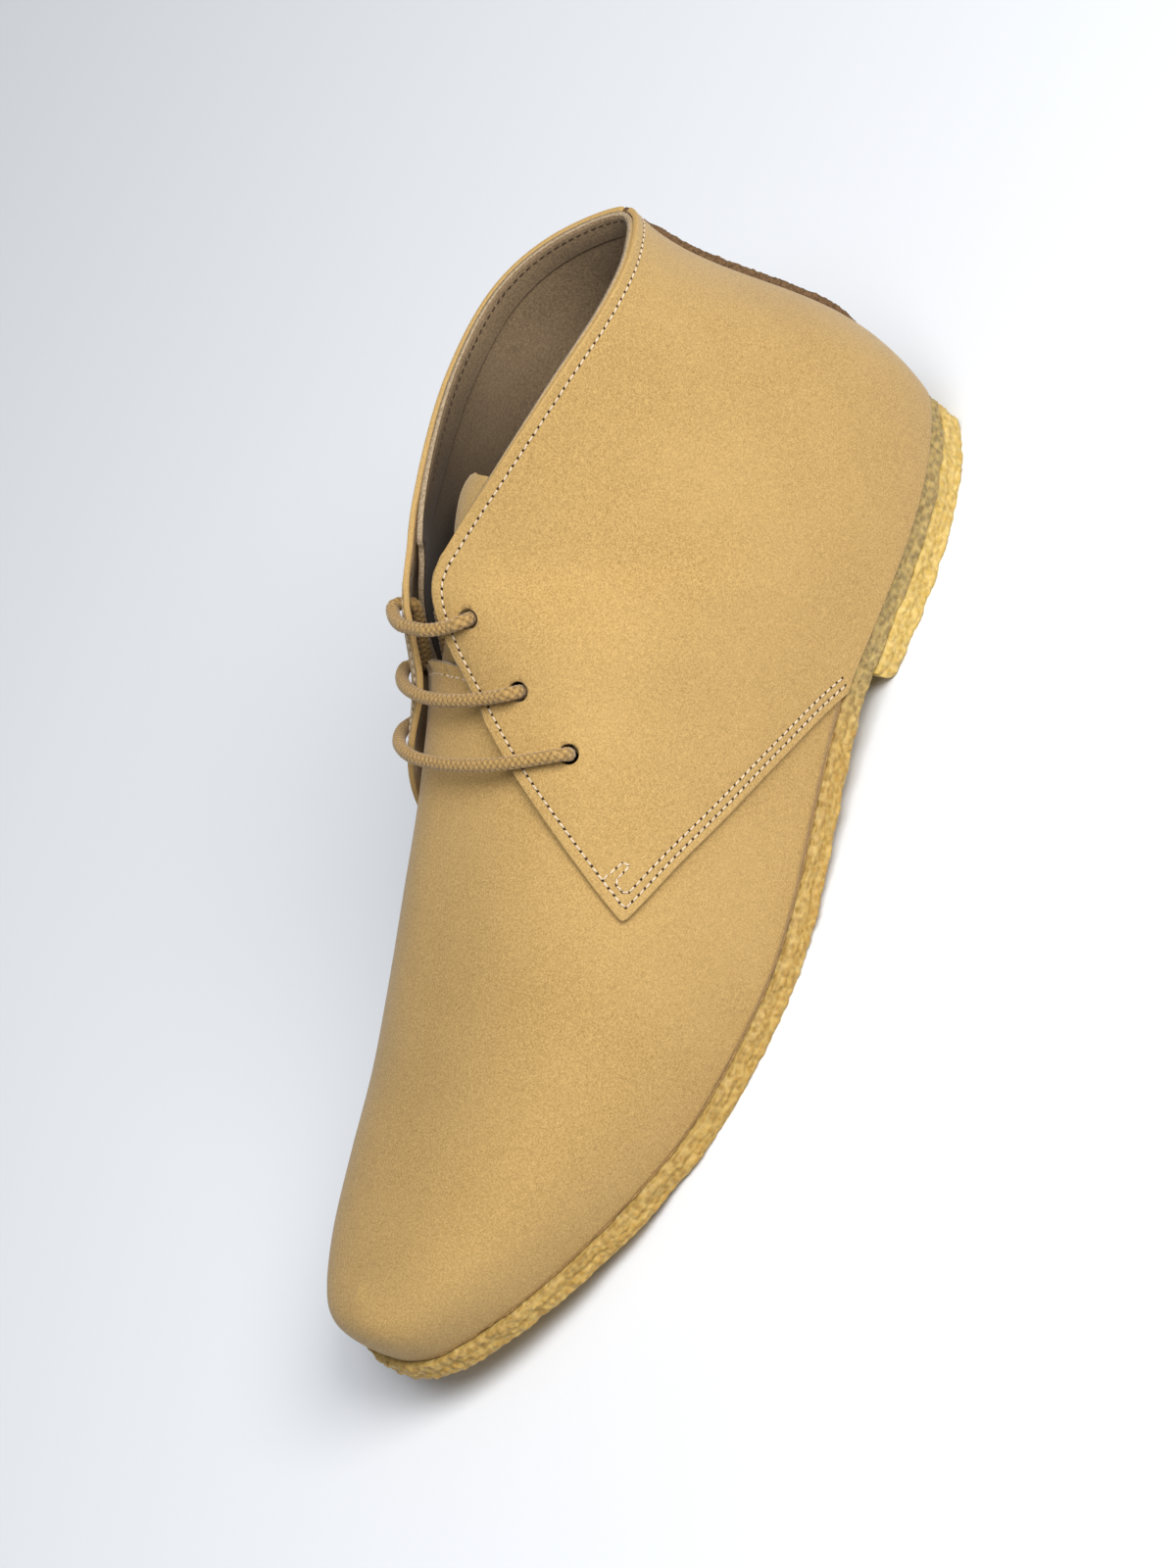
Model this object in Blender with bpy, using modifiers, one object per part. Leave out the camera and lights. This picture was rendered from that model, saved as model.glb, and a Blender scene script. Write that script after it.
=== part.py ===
"""Left desert boot: hollow lasted upper, two quarters, tongue, crepe sole and heel, round lace.

Shoe axes: x runs from the back of the heel to the toe, y to the outer side of the foot, z up.
All sizes are in metres, and tables hold shares of the named sizes.
"""
import math

import bmesh
import bpy
from mathutils import Vector

# sizes of the last
SOLE_LENGTH = 0.295
BALL_WIDTH = 0.095
INSTEP_HEIGHT = 0.079
COLLAR_HEIGHT = 0.1145

# sizes of the sole
HEEL_HEIGHT = 0.008
TOE_SPRING = 0.014
SOLE_THICKNESS = 0.0065
SOLE_EDGE = 0.0023
HEEL_BREAST = 0.080
BREAST_FILLET = 0.006
LIFT_EDGE = -0.0003
RIB_DEPTH = 0.0006
INSOLE_THICKNESS = 0.003

# walls, clearances and small parts
UPPER_WALL = 0.0014
QUARTER_WALL = 0.0016
TONGUE_WALL = 0.0018
GAP = 0.0003
FACING_LIFT = 0.0024
SEAM_WIDTH = 0.0022
SEAM_PROUD = 0.0018
LACE_DIAMETER = 0.0038
LACE_RISE = 0.0004
LACE_BEND = 0.0027
LACE_TAIL = 0.0062
LACE_UNDER = 0.0092
LACE_ASIDE = 0.0022
LACE_CLEAR = 0.0006
LACE_SAG = 0.16
HOLE_DIAMETER = 0.0052
SLIT_WIDTH = 0.0056
SLIT_DEPTH = 0.005
SLIT_START = 1.1
SLIT_END = 0.6

# mesh fineness
STEPS_PER_ROW = 2
SECTION_STEPS = 13
LACE_SIDES = 2
BEND_STEPS = 3
BAR_STEPS = 8
LINK_STEPS = 3

# the line where the upper meets the sole, from toe to heel: shares of length and of ball width
FOOT_COLUMNS = ("x", "out", "in")
FOOT_LINE = (
    (0.9910, -0.100, -0.100),
    (0.9820, 0.032, -0.245),
    (0.9540, 0.137, -0.345),
    (0.8980, 0.262, -0.420),
    (0.8240, 0.368, -0.468),
    (0.7390, 0.450, -0.484),
    (0.6540, 0.494, -0.455),
    (0.5700, 0.503, -0.385),
    (0.4880, 0.470, -0.315),
    (0.4140, 0.420, -0.280),
    (0.3460, 0.380, -0.278),
    (0.2850, 0.356, -0.294),
    (0.2270, 0.342, -0.314),
    (0.1690, 0.322, -0.322),
    (0.1120, 0.280, -0.300),
    (0.0610, 0.210, -0.237),
    (0.0240, 0.118, -0.142),
    (0.0150, -0.020, -0.020),
)

# the line over the toe and instep that both sides share: shares of length, instep height and ball width
RIDGE_COLUMNS = ("x", "z", "y", "turn", "dive", "reach", "rise", "lean_out", "lean_in")
RIDGE = (
    (0.9520, 0.278, -0.095, 0.0, 10.0, 0.72, 0.74, 8.0, 8.0),
    (0.9490, 0.280, -0.095, 38.0, 8.0, 0.74, 0.74, 8.0, 8.0),
    (0.9380, 0.292, -0.095, 66.0, 5.0, 0.76, 0.74, 8.0, 8.0),
    (0.9080, 0.340, -0.095, 84.0, 2.0, 0.78, 0.74, 7.0, 7.0),
    (0.8580, 0.414, -0.095, 90.0, 0.0, 0.78, 0.74, 6.0, 6.0),
    (0.7920, 0.524, -0.095, 90.0, 0.0, 0.78, 0.74, 5.0, 5.0),
    (0.7150, 0.690, -0.095, 90.0, 0.0, 0.77, 0.73, 3.5, 5.0),
    (0.6330, 0.842, -0.090, 90.0, 0.0, 0.80, 0.75, 1.5, 7.0),
    (0.5640, 0.958, -0.083, 90.0, 0.0, 0.83, 0.76, 0.0, 11.0),
    (0.5080, 1.043, -0.078, 90.0, 0.0, 0.82, 0.74, 1.0, 14.0),
    (0.4600, 1.120, -0.084, 90.0, 3.0, 0.78, 0.68, 2.0, 15.0),
)

# the collar from the front corner to the back seam: shares of length, collar height and ball width
COLLAR_COLUMNS = (
    "x", "z_out", "z_in", "out", "in", "turn", "dive", "reach", "rise", "lean_out", "lean_in"
)
COLLAR = (
    (0.4060, 0.880, 0.875, -0.074, -0.104, 90.0, 24.0, 0.49, 0.57, 3.0, 13.0),
    (0.3580, 0.938, 0.915, 0.010, -0.185, 86.0, 50.0, 0.43, 0.46, 4.0, 12.0),
    (0.2950, 0.978, 0.945, 0.118, -0.245, 88.0, 67.0, 0.39, 0.38, 6.0, 10.0),
    (0.2130, 0.990, 0.955, 0.196, -0.305, 92.0, 80.0, 0.36, 0.33, 8.0, 9.0),
    (0.1320, 0.965, 0.945, 0.208, -0.310, 100.0, 88.0, 0.35, 0.30, 11.0, 11.0),
    (0.0720, 0.928, 0.920, 0.136, -0.215, 122.0, 94.0, 0.34, 0.29, 15.0, 15.0),
    (0.0330, 0.892, 0.892, -0.020, -0.020, 180.0, 103.0, 0.33, 0.28, 28.0, 28.0),
)

# underside of the outsole along the length: shares of length, heel height and toe spring
SOLE_COLUMNS = ("x", "lift", "spring")
SOLE_LINE = (
    (0.000, 1.00, 0.00),
    (0.290, 1.00, 0.00),
    (0.350, 0.78, 0.00),
    (0.450, 0.36, 0.00),
    (0.520, 0.10, 0.00),
    (0.570, 0.00, 0.00),
    (0.690, 0.00, 0.00),
    (0.780, 0.00, 0.20),
    (0.880, 0.00, 0.56),
    (0.950, 0.00, 0.80),
    (1.010, 0.00, 1.02),
)

# free edge of the facings in plan, from the tip up to the collar: shares of length and ball width
FACING_COLUMNS = ("x", "out", "in")
FACING_EDGE = (
    (0.5950, 0.475, -0.520),
    (0.5680, 0.390, -0.400),
    (0.5400, 0.300, -0.300),
    (0.5140, 0.212, -0.235),
    (0.4800, 0.098, -0.185),
    (0.4520, 0.026, -0.172),
    (0.4310, -0.008, -0.172),
    (0.4120, -0.034, -0.176),
    (0.3950, -0.046, -0.184),
    (0.3780, -0.044, -0.192),
    (0.3500, -0.020, -0.170),
    (0.3000, 0.060, -0.100),
)

# front seam of a quarter in side view, from the tip down to the sole: shares of length and instep height
SEAM_COLUMNS = ("x", "z")
FRONT_SEAM = (
    (0.5970, 0.612),
    (0.5250, 0.512),
    (0.4530, 0.356),
    (0.3800, 0.184),
    (0.3170, 0.027),
    (0.2500, -0.150),
)

# lace holes from the top pair down: row number along the last, and share of the way from sole to top
HOLE_COLUMNS = ("row", "out", "in")
LACE_HOLES = (
    (10.90, 0.890, 0.860),
    (10.00, 0.780, 0.730),
    (8.95, 0.620, 0.560),
)

# the tongue's middle line below the flap: shares of length, instep height and ball width
TONGUE_COLUMNS = ("x", "z", "y", "half_width", "sag")
TONGUE = (
    (0.490, 1.036, -0.078, 0.120, 0.022),
    (0.465, 1.074, -0.080, 0.120, 0.022),
    (0.440, 1.108, -0.078, 0.120, 0.024),
    (0.405, 1.160, -0.072, 0.118, 0.028),
    (0.370, 1.225, -0.062, 0.118, 0.030),
    (0.330, 1.282, -0.052, 0.122, 0.028),
    (0.293, 1.310, -0.045, 0.125, 0.025),
)

OUT = 1
IN = -1
SIDES = (OUT, IN)
FLAP_TOP = 0.447
LAST_ROW = len(FOOT_LINE) - 1

COLOURS = {
    "suede": (0.56, 0.38, 0.17, 1.0),
    "crepe": (0.52, 0.40, 0.17, 1.0),
    "lining": (0.36, 0.28, 0.21, 1.0),
    "cord": (0.36, 0.23, 0.11, 1.0),
    "raw_edge": (0.16, 0.10, 0.05, 1.0),
}


def clear_scene():
    for item in list(bpy.data.objects):
        bpy.data.objects.remove(item, do_unlink=True)


def new_collection(name):
    collection = bpy.data.collections.new(name)
    bpy.context.scene.collection.children.link(collection)
    return collection


def make_material(name, roughness):
    material = bpy.data.materials.new(name)
    material.use_nodes = True
    shader = material.node_tree.nodes["Principled BSDF"]
    shader.inputs["Base Color"].default_value = COLOURS[name]
    shader.inputs["Roughness"].default_value = roughness
    shader.inputs["Metallic"].default_value = 0.0
    return material


def make_object(name, form, collection, material=None):
    """Turns a bmesh into an object of the given collection."""
    mesh = bpy.data.meshes.new(name)
    form.to_mesh(mesh)
    form.free()
    item = bpy.data.objects.new(name, mesh)
    collection.objects.link(item)
    if material is not None:
        mesh.materials.append(material)
    return item


def hide_cutter(cutter):
    cutter.hide_render = True
    cutter.display_type = "WIRE"
    return cutter


def cubic(p0, p1, p2, p3, share):
    """Smooth curve through p1 and p2, with p0 and p3 as their neighbours."""
    square = share * share
    cube = square * share
    return 0.5 * (
        2 * p1
        + (p2 - p0) * share
        + (2 * p0 - 5 * p1 + 4 * p2 - p3) * square
        + (3 * p1 - p0 - 3 * p2 + p3) * cube
    )


def along(values, place, before, after):
    """Value of a column at a row number with a fraction."""
    last = len(values) - 1
    index = min(int(math.floor(place)), last - 1)
    p0 = values[index - 1] if index > 0 else before
    p3 = values[index + 2] if index + 2 <= last else after
    return cubic(p0, values[index], values[index + 1], p3, place - index)


def column(table, names, name):
    position = names.index(name)
    return [row[position] for row in table]


def side_name(side, outer, inner):
    return outer if side == OUT else inner


def height_at(x):
    """Height of the outsole's underside above the floor at a distance from the heel."""
    xs = [share * SOLE_LENGTH for share in column(SOLE_LINE, SOLE_COLUMNS, "x")]
    lifts = column(SOLE_LINE, SOLE_COLUMNS, "lift")
    springs = column(SOLE_LINE, SOLE_COLUMNS, "spring")
    zs = [HEEL_HEIGHT * lift + TOE_SPRING * spring for lift, spring in zip(lifts, springs)]
    place = min(max(x, xs[0]), xs[-1])
    index = 0
    while index < len(xs) - 2 and place > xs[index + 1]:
        index += 1
    slopes = [(zs[i + 1] - zs[i]) / (xs[i + 1] - xs[i]) for i in range(len(xs) - 1)]

    def knot_slope(i):
        if i == 0 or i == len(xs) - 1 or slopes[i - 1] * slopes[i] <= 0:
            return slopes[0] if i == 0 else (slopes[-1] if i == len(xs) - 1 else 0.0)
        return 2 * slopes[i - 1] * slopes[i] / (slopes[i - 1] + slopes[i])

    span = xs[index + 1] - xs[index]
    share = (place - xs[index]) / span
    start, end = knot_slope(index) * span, knot_slope(index + 1) * span
    square, cube = share * share, share * share * share
    return (
        zs[index] * (2 * cube - 3 * square + 1)
        + start * (cube - 2 * square + share)
        + zs[index + 1] * (3 * square - 2 * cube)
        + end * (cube - square)
    )


def foot_point(row, side):
    """Point of the foot line at a row number with a fraction."""
    xs = column(FOOT_LINE, FOOT_COLUMNS, "x")
    own = column(FOOT_LINE, FOOT_COLUMNS, side_name(side, "out", "in"))
    other = column(FOOT_LINE, FOOT_COLUMNS, side_name(side, "in", "out"))
    x = along(xs, row, xs[1], xs[-2]) * SOLE_LENGTH
    y = along(own, row, other[1], other[-2]) * BALL_WIDTH
    return Vector((x, y, height_at(x) + SOLE_THICKNESS + GAP))


def seat_height():
    """Height on which the collar's heights stand: the foot line at the heel."""
    return HEEL_HEIGHT + SOLE_THICKNESS + GAP


def top_values(side):
    """Rows of top points and shape values, the instep's and then the collar's."""
    rows = []
    for row in RIDGE:
        value = dict(zip(RIDGE_COLUMNS, row))
        x = value["x"] * SOLE_LENGTH
        z = value["z"] * INSTEP_HEIGHT + height_at(x) + SOLE_THICKNESS + GAP
        point = (x, value["y"] * BALL_WIDTH, z)
        lean = value[side_name(side, "lean_out", "lean_in")]
        rows.append((*point, value["turn"], value["dive"], value["reach"], value["rise"], lean))
    for row in COLLAR:
        value = dict(zip(COLLAR_COLUMNS, row))
        y = value[side_name(side, "out", "in")] * BALL_WIDTH
        z = value[side_name(side, "z_out", "z_in")] * COLLAR_HEIGHT + seat_height()
        point = (value["x"] * SOLE_LENGTH, y, z)
        lean = value[side_name(side, "lean_out", "lean_in")]
        rows.append((*point, value["turn"], value["dive"], value["reach"], value["rise"], lean))
    return rows


TOP_COLUMNS = ("x", "y", "z", "turn", "dive", "reach", "rise", "lean")
TOP_ROWS = {side: top_values(side) for side in SIDES}


def top_at(row, side):
    """Top point and shape values at a row number."""
    rows = TOP_ROWS[side]
    result = []
    for position, name in enumerate(TOP_COLUMNS):
        values = [entry[position] for entry in rows]
        before, after = values[1], values[-2]
        if name == "turn":
            before, after = -values[1], 2 * values[-1] - values[-2]
        if name == "y":
            after = TOP_ROWS[-side][-2][position]
        result.append(along(values, row, before, after))
    return result


def section_point(row, share, side):
    """Point of the last's surface: a row number, and a share of the way from sole to top."""
    foot = foot_point(row, side)
    x, y, z, turn, dive, reach, rise, lean = top_at(row, side)
    top = Vector((x, y, z))
    tall = top.z - foot.z
    wide = (Vector((foot.x, foot.y)) - Vector((top.x, top.y))).length
    turn, dive, lean = math.radians(turn), math.radians(dive), math.radians(lean)
    outward = Vector((math.cos(turn), side * math.sin(turn), 0))
    length = reach * (wide * abs(math.cos(dive)) + tall * abs(math.sin(dive)))
    top_handle = top + (outward * math.cos(dive) + Vector((0, 0, -math.sin(dive)))) * length
    ahead = foot_point(min(row + 0.05, LAST_ROW), side) - foot_point(max(row - 0.05, 0), side)
    away = Vector((-ahead.y, ahead.x, 0)) * -side
    if row < 0.05:
        away = Vector((1, 0, 0))
    if row > LAST_ROW - 0.05:
        away = Vector((-1, 0, 0))
    away.normalize()
    foot_handle = foot + Vector((0, 0, 1)) * rise * tall + away * rise * tall * math.tan(lean)
    rest = 1 - share
    return (
        foot * rest**3
        + foot_handle * 3 * rest**2 * share
        + top_handle * 3 * rest * share**2
        + top * share**3
    )


def ring_rows():
    """Row numbers round the last: the outer side from toe to heel, then the inner side back."""
    count = LAST_ROW * STEPS_PER_ROW
    outer = [(step / STEPS_PER_ROW, OUT) for step in range(count + 1)]
    inner = [(step / STEPS_PER_ROW, IN) for step in range(count - 1, 0, -1)]
    return outer + inner


def smooth_step(value):
    value = min(max(value, 0.0), 1.0)
    return value * value * (3 - 2 * value)


def facing_lift(row, share):
    """How far the slack facings stand off the instep."""
    along_instep = smooth_step((row - 7.2) / 1.8) * smooth_step((12.9 - row) / 2.4)
    return FACING_LIFT * along_instep * smooth_step((share - 0.25) / 0.45)


def last_form(offset, lifted):
    """Open surface of the last grown by an offset, from the foot line to the top line."""
    form = bmesh.new()
    distances = form.verts.layers.float.new("distance")
    rings = ring_rows()
    shares = [step / SECTION_STEPS for step in range(SECTION_STEPS + 1)]
    grid = []
    for row, side in rings:
        grid.append([form.verts.new(section_point(row, share, side)) for share in shares])
    lifts = {}
    for index, (row, side) in enumerate(rings):
        for step, share in enumerate(shares):
            lifts[grid[index][step]] = facing_lift(row, share) if lifted else 0.0
    for index in range(len(rings)):
        following = (index + 1) % len(rings)
        for step in range(SECTION_STEPS):
            corners = (
                grid[index][step],
                grid[following][step],
                grid[following][step + 1],
                grid[index][step + 1],
            )
            form.faces.new(corners)
    for vertex, lift in lifts.items():
        vertex[distances] = offset + lift
    bmesh.ops.remove_doubles(form, verts=form.verts, dist=0.00002)
    bmesh.ops.recalc_face_normals(form, faces=form.faces)
    form.normal_update()
    moves = [(vertex, vertex.normal * vertex[distances]) for vertex in form.verts]
    for vertex, move in moves:
        vertex.co += move
    return form


def add_wall(item, thickness, side):
    """Gives an open surface its wall; a side of -1 is inwards and 1 outwards."""
    wall = item.modifiers.new("wall", "SOLIDIFY")
    wall.thickness = thickness
    wall.offset = side
    wall.use_even_offset = True


def add_cut(item, cutter, operation):
    cut = item.modifiers.new(cutter.name, "BOOLEAN")
    cut.use_self = True
    cut.operation = operation
    cut.solver = "EXACT"
    cut.object = cutter


def extrude_outline(name, points, low, high, axis, collection):
    """Prism over a flat outline: plan outlines stand along z, side outlines lie along y."""
    form = bmesh.new()
    rings = []
    for level in (low, high):
        if axis == "z":
            rings.append([form.verts.new((a, b, level)) for a, b in points])
        else:
            rings.append([form.verts.new((a, level, b)) for a, b in points])
    form.faces.new(rings[0])
    form.faces.new(rings[1])
    for index in range(len(points)):
        following = (index + 1) % len(points)
        form.faces.new((rings[0][index], rings[0][following], rings[1][following], rings[1][index]))
    bmesh.ops.recalc_face_normals(form, faces=form.faces)
    return hide_cutter(make_object(name, form, collection))


def smooth_line(points, steps):
    """Finer points along a smooth curve through the given ones."""
    vectors = [Vector(point) for point in points]
    before = 2 * vectors[0] - vectors[1]
    after = 2 * vectors[-1] - vectors[-2]
    chain = [before] + vectors + [after]
    result = []
    for index in range(1, len(chain) - 2):
        for step in range(steps):
            result.append(cubic(chain[index - 1], chain[index], chain[index + 1], chain[index + 2], step / steps))
    result.append(vectors[-1])
    return result


def plan_points(table, names, side):
    """Points of a plan table on one side, in metres."""
    xs = column(table, names, "x")
    ys = column(table, names, side_name(side, "out", "in"))
    return [(x * SOLE_LENGTH, y * BALL_WIDTH) for x, y in zip(xs, ys)]


def quarter_plan(side):
    """Plan outline of all that lies behind the facing's free edge on one side."""
    edge = [(point.x, point.y) for point in smooth_line(plan_points(FACING_EDGE, FACING_COLUMNS, side), 4)]
    middle = TOP_ROWS[side][-1][1]
    inner = middle + side * (SEAM_WIDTH / 2 + GAP)
    behind = -0.15 * SOLE_LENGTH
    far = side * BALL_WIDTH
    tail = [(0.2 * SOLE_LENGTH, inner), (behind, inner), (behind, far), (SOLE_LENGTH * 0.72, far)]
    return edge + tail


def quarter_side():
    """Side outline of all that lies behind and above a quarter's front seam."""
    seam = []
    for x, z in FRONT_SEAM:
        seam.append((x * SOLE_LENGTH, z * INSTEP_HEIGHT + height_at(x * SOLE_LENGTH) + SOLE_THICKNESS))
    fine = [(point.x, point.y) for point in smooth_line(seam, 3)]
    low, behind, high = -0.02, -0.15 * SOLE_LENGTH, COLLAR_HEIGHT * 1.5
    return fine + [(seam[-1][0], low), (behind, low), (behind, high), (SOLE_LENGTH * 0.72, high)]


def surface_at(row, share, side):
    """Point and outward direction of the last's surface."""
    point = section_point(row, share, side)
    along_row = section_point(row + 0.1, share, side) - section_point(row - 0.1, share, side)
    up_section = section_point(row, share + 0.02, side) - section_point(row, share - 0.02, side)
    return point, along_row.cross(up_section).normalized() * side


def hole_points(side):
    """Centre on the quarter's outer surface and outward direction of each lace hole."""
    found = []
    for entry in LACE_HOLES:
        value = dict(zip(HOLE_COLUMNS, entry))
        share = value[side_name(side, "out", "in")]
        point, normal = surface_at(value["row"], share, side)
        lift = facing_lift(value["row"], share) + GAP + QUARTER_WALL
        found.append((point + normal * lift, normal))
    return found


def slit_line(side):
    """Row numbers and section shares along the slit beside the flap, collar end first."""
    holes = []
    for entry in LACE_HOLES:
        value = dict(zip(HOLE_COLUMNS, entry))
        holes.append(Vector((value["row"], value[side_name(side, "out", "in")])))
    first = holes[0] + (holes[0] - holes[1]) * SLIT_START
    last = holes[-1] + (holes[-1] - holes[-2]) * SLIT_END
    return [first] + holes + [last]


def build_slit_cutter(name, side, cutters):
    """Bar that follows the last's surface along the slit and passes through its wall."""
    form = bmesh.new()
    loops = []
    fine = smooth_line([(place.x, place.y, 0) for place in slit_line(side)], 3)
    for index, place in enumerate(fine):
        point, normal = surface_at(place.x, place.y, side)
        start = fine[max(index - 1, 0)]
        end = fine[min(index + 1, len(fine) - 1)]
        ahead = (section_point(end.x, end.y, side) - section_point(start.x, start.y, side)).normalized()
        across = ahead.cross(normal).normalized() * SLIT_WIDTH / 2
        deep = normal * SLIT_DEPTH
        corners = (point + across + deep, point - across + deep, point - across - deep, point + across - deep)
        loops.append([form.verts.new(corner) for corner in corners])
    for first, second in zip(loops, loops[1:]):
        for index in range(4):
            following = (index + 1) % 4
            form.faces.new((first[index], second[index], second[following], first[following]))
    form.faces.new(loops[0])
    form.faces.new(loops[-1])
    bmesh.ops.recalc_face_normals(form, faces=form.faces)
    return hide_cutter(make_object(name, form, cutters))


def throat_outline():
    """Plan outline of the opening above the flap, between the middles of the two slits."""
    outline = []
    flap_x = FLAP_TOP * SOLE_LENGTH
    for side in SIDES:
        fine = smooth_line([(place.x, place.y, 0) for place in slit_line(side)], 3)
        line = [section_point(place.x, place.y, side) for place in fine]
        kept = [point for point in line if point.x < flap_x]
        below = line[len(kept)]
        share = (flap_x - kept[-1].x) / (below.x - kept[-1].x)
        outline.append(kept + [kept[-1].lerp(below, share)])
    points = outline[0] + list(reversed(outline[1]))
    return [(point.x, point.y) for point in points]


def build_upper(parts, cutters, material):
    upper = make_object("upper", last_form(0.0, False), parts, material)
    add_wall(upper, UPPER_WALL, -1)
    add_cut(upper, build_slit_cutter("slit_lateral", OUT, cutters), "DIFFERENCE")
    add_cut(upper, build_slit_cutter("slit_medial", IN, cutters), "DIFFERENCE")
    throat = extrude_outline("throat_cutter", throat_outline(), INSTEP_HEIGHT, COLLAR_HEIGHT * 1.4, "z", cutters)
    add_cut(upper, throat, "DIFFERENCE")
    return upper


def build_hole_cutter(name, side, cutters):
    form = bmesh.new()
    for point, normal in hole_points(side):
        turn = Vector((0, 0, 1)).rotation_difference(normal).to_matrix().to_4x4()
        turn.translation = point
        bmesh.ops.create_cone(
            form,
            cap_ends=True,
            segments=12,
            radius1=HOLE_DIAMETER / 2,
            radius2=HOLE_DIAMETER / 2,
            depth=QUARTER_WALL * 6,
            matrix=turn,
        )
    return hide_cutter(make_object(name, form, cutters))


def build_quarter(name, side, parts, cutters, material):
    quarter = make_object(name, last_form(GAP, True), parts, material)
    add_wall(quarter, QUARTER_WALL, 1)
    plan = extrude_outline(name + "_plan", quarter_plan(side), -0.05, COLLAR_HEIGHT * 1.6, "z", cutters)
    reach = BALL_WIDTH * 0.9
    side_cut = extrude_outline(name + "_side", quarter_side(), -reach, reach, "y", cutters)
    holes = build_hole_cutter(name + "_holes", side, cutters)
    add_cut(quarter, plan, "INTERSECT")
    add_cut(quarter, side_cut, "INTERSECT")
    add_cut(quarter, holes, "DIFFERENCE")
    return quarter


def edge_direction(row, side):
    """Flat direction straight out from the foot line."""
    if row <= 0.0:
        return Vector((1, 0, 0))
    if row >= LAST_ROW:
        return Vector((-1, 0, 0))
    ahead = foot_point(min(row + 0.1, LAST_ROW), side) - foot_point(max(row - 0.1, 0), side)
    away = Vector((-ahead.y, ahead.x, 0)) * -side
    return away.normalized()


def plank(rows, levels):
    """Closed slab that follows the foot line; each level gives an outset and a height for a row and x."""
    form = bmesh.new()
    stations = []
    for row in rows:
        loop = []
        for side, order in ((OUT, levels), (IN, list(reversed(levels)))):
            for outset, height in order:
                base = foot_point(row, side)
                point = base + edge_direction(row, side) * outset(row)
                point.z = height(point.x)
                loop.append(form.verts.new(point))
        stations.append(loop)
    count = len(stations[0])
    for first, second in zip(stations, stations[1:]):
        for index in range(count):
            following = (index + 1) % count
            form.faces.new((first[index], second[index], second[following], first[following]))
    for loop in (stations[0], stations[-1]):
        form.faces.new(loop)
    bmesh.ops.remove_doubles(form, verts=form.verts, dist=0.00002)
    bmesh.ops.dissolve_degenerate(form, edges=form.edges, dist=0.00002)
    bmesh.ops.recalc_face_normals(form, faces=form.faces)
    return form


def sole_outset(row):
    """How far the sole stands out past the foot line: widest at the forefoot, little at the heel."""
    return SOLE_EDGE * (0.25 + 0.75 * smooth_step((12.0 - row) / 4.0))


def all_rows():
    count = LAST_ROW * STEPS_PER_ROW
    return [step / STEPS_PER_ROW for step in range(count + 1)]


def row_at(x):
    """Row number of the foot line at a distance from the heel."""
    low, high = 2.0, float(LAST_ROW)
    for _ in range(40):
        middle = (low + high) / 2
        if foot_point(middle, OUT).x > x:
            low = middle
        else:
            high = middle
    return (low + high) / 2


def build_outsole(parts, material):
    def level(extra, share):
        return (lambda row: sole_outset(row) + extra, lambda x: height_at(x) + SOLE_THICKNESS * share)

    levels = [
        level(-RIB_DEPTH, 0.0),
        level(0.0, 0.14),
        level(0.0, 0.38),
        level(-RIB_DEPTH, 0.50),
        level(0.0, 0.62),
        level(0.0, 0.88),
        level(-RIB_DEPTH, 1.0),
    ]
    return make_object("outsole", plank(all_rows(), levels), parts, material)


def breast_height(x):
    """Underside of the heel lift: flat on the floor, then curving up in front of the breast."""
    past = x - HEEL_BREAST
    if past <= 0:
        return 0.0
    share = min(past / BREAST_FILLET, 1.0)
    return (HEEL_HEIGHT - 0.0012) * math.sqrt(1 - (1 - share) ** 2)


def build_heel(parts, material):
    def level(extra, share):
        def height(x):
            top = height_at(x) - GAP
            return breast_height(x) + (top - breast_height(x)) * share

        return (lambda row: sole_outset(row) + extra, height)

    levels = [
        level(LIFT_EDGE - RIB_DEPTH, 0.0),
        level(LIFT_EDGE, 0.15),
        level(LIFT_EDGE, 0.42),
        level(LIFT_EDGE - RIB_DEPTH, 0.54),
        level(LIFT_EDGE, 0.66),
        level(LIFT_EDGE, 0.88),
        level(LIFT_EDGE - RIB_DEPTH, 1.0),
    ]
    shares = (1.0, 0.72, 0.42, 0.18, 0.05, 0.0)
    rows = [row_at(HEEL_BREAST + BREAST_FILLET * share) for share in shares]
    rows += [row for row in all_rows() if row > rows[-1] + 0.2]
    return make_object("heel", plank(rows, levels), parts, material)


def build_insole(parts, material):
    inset = UPPER_WALL + 2 * GAP
    base = SOLE_THICKNESS + GAP

    def level(extra, rise):
        return (lambda row: -inset - extra, lambda x: height_at(x) + base + rise)

    levels = [level(0.0003, 0.0), level(0.0, INSOLE_THICKNESS * 0.5), level(0.0008, INSOLE_THICKNESS)]
    return make_object("insole", plank(all_rows(), levels), parts, material)


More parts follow.
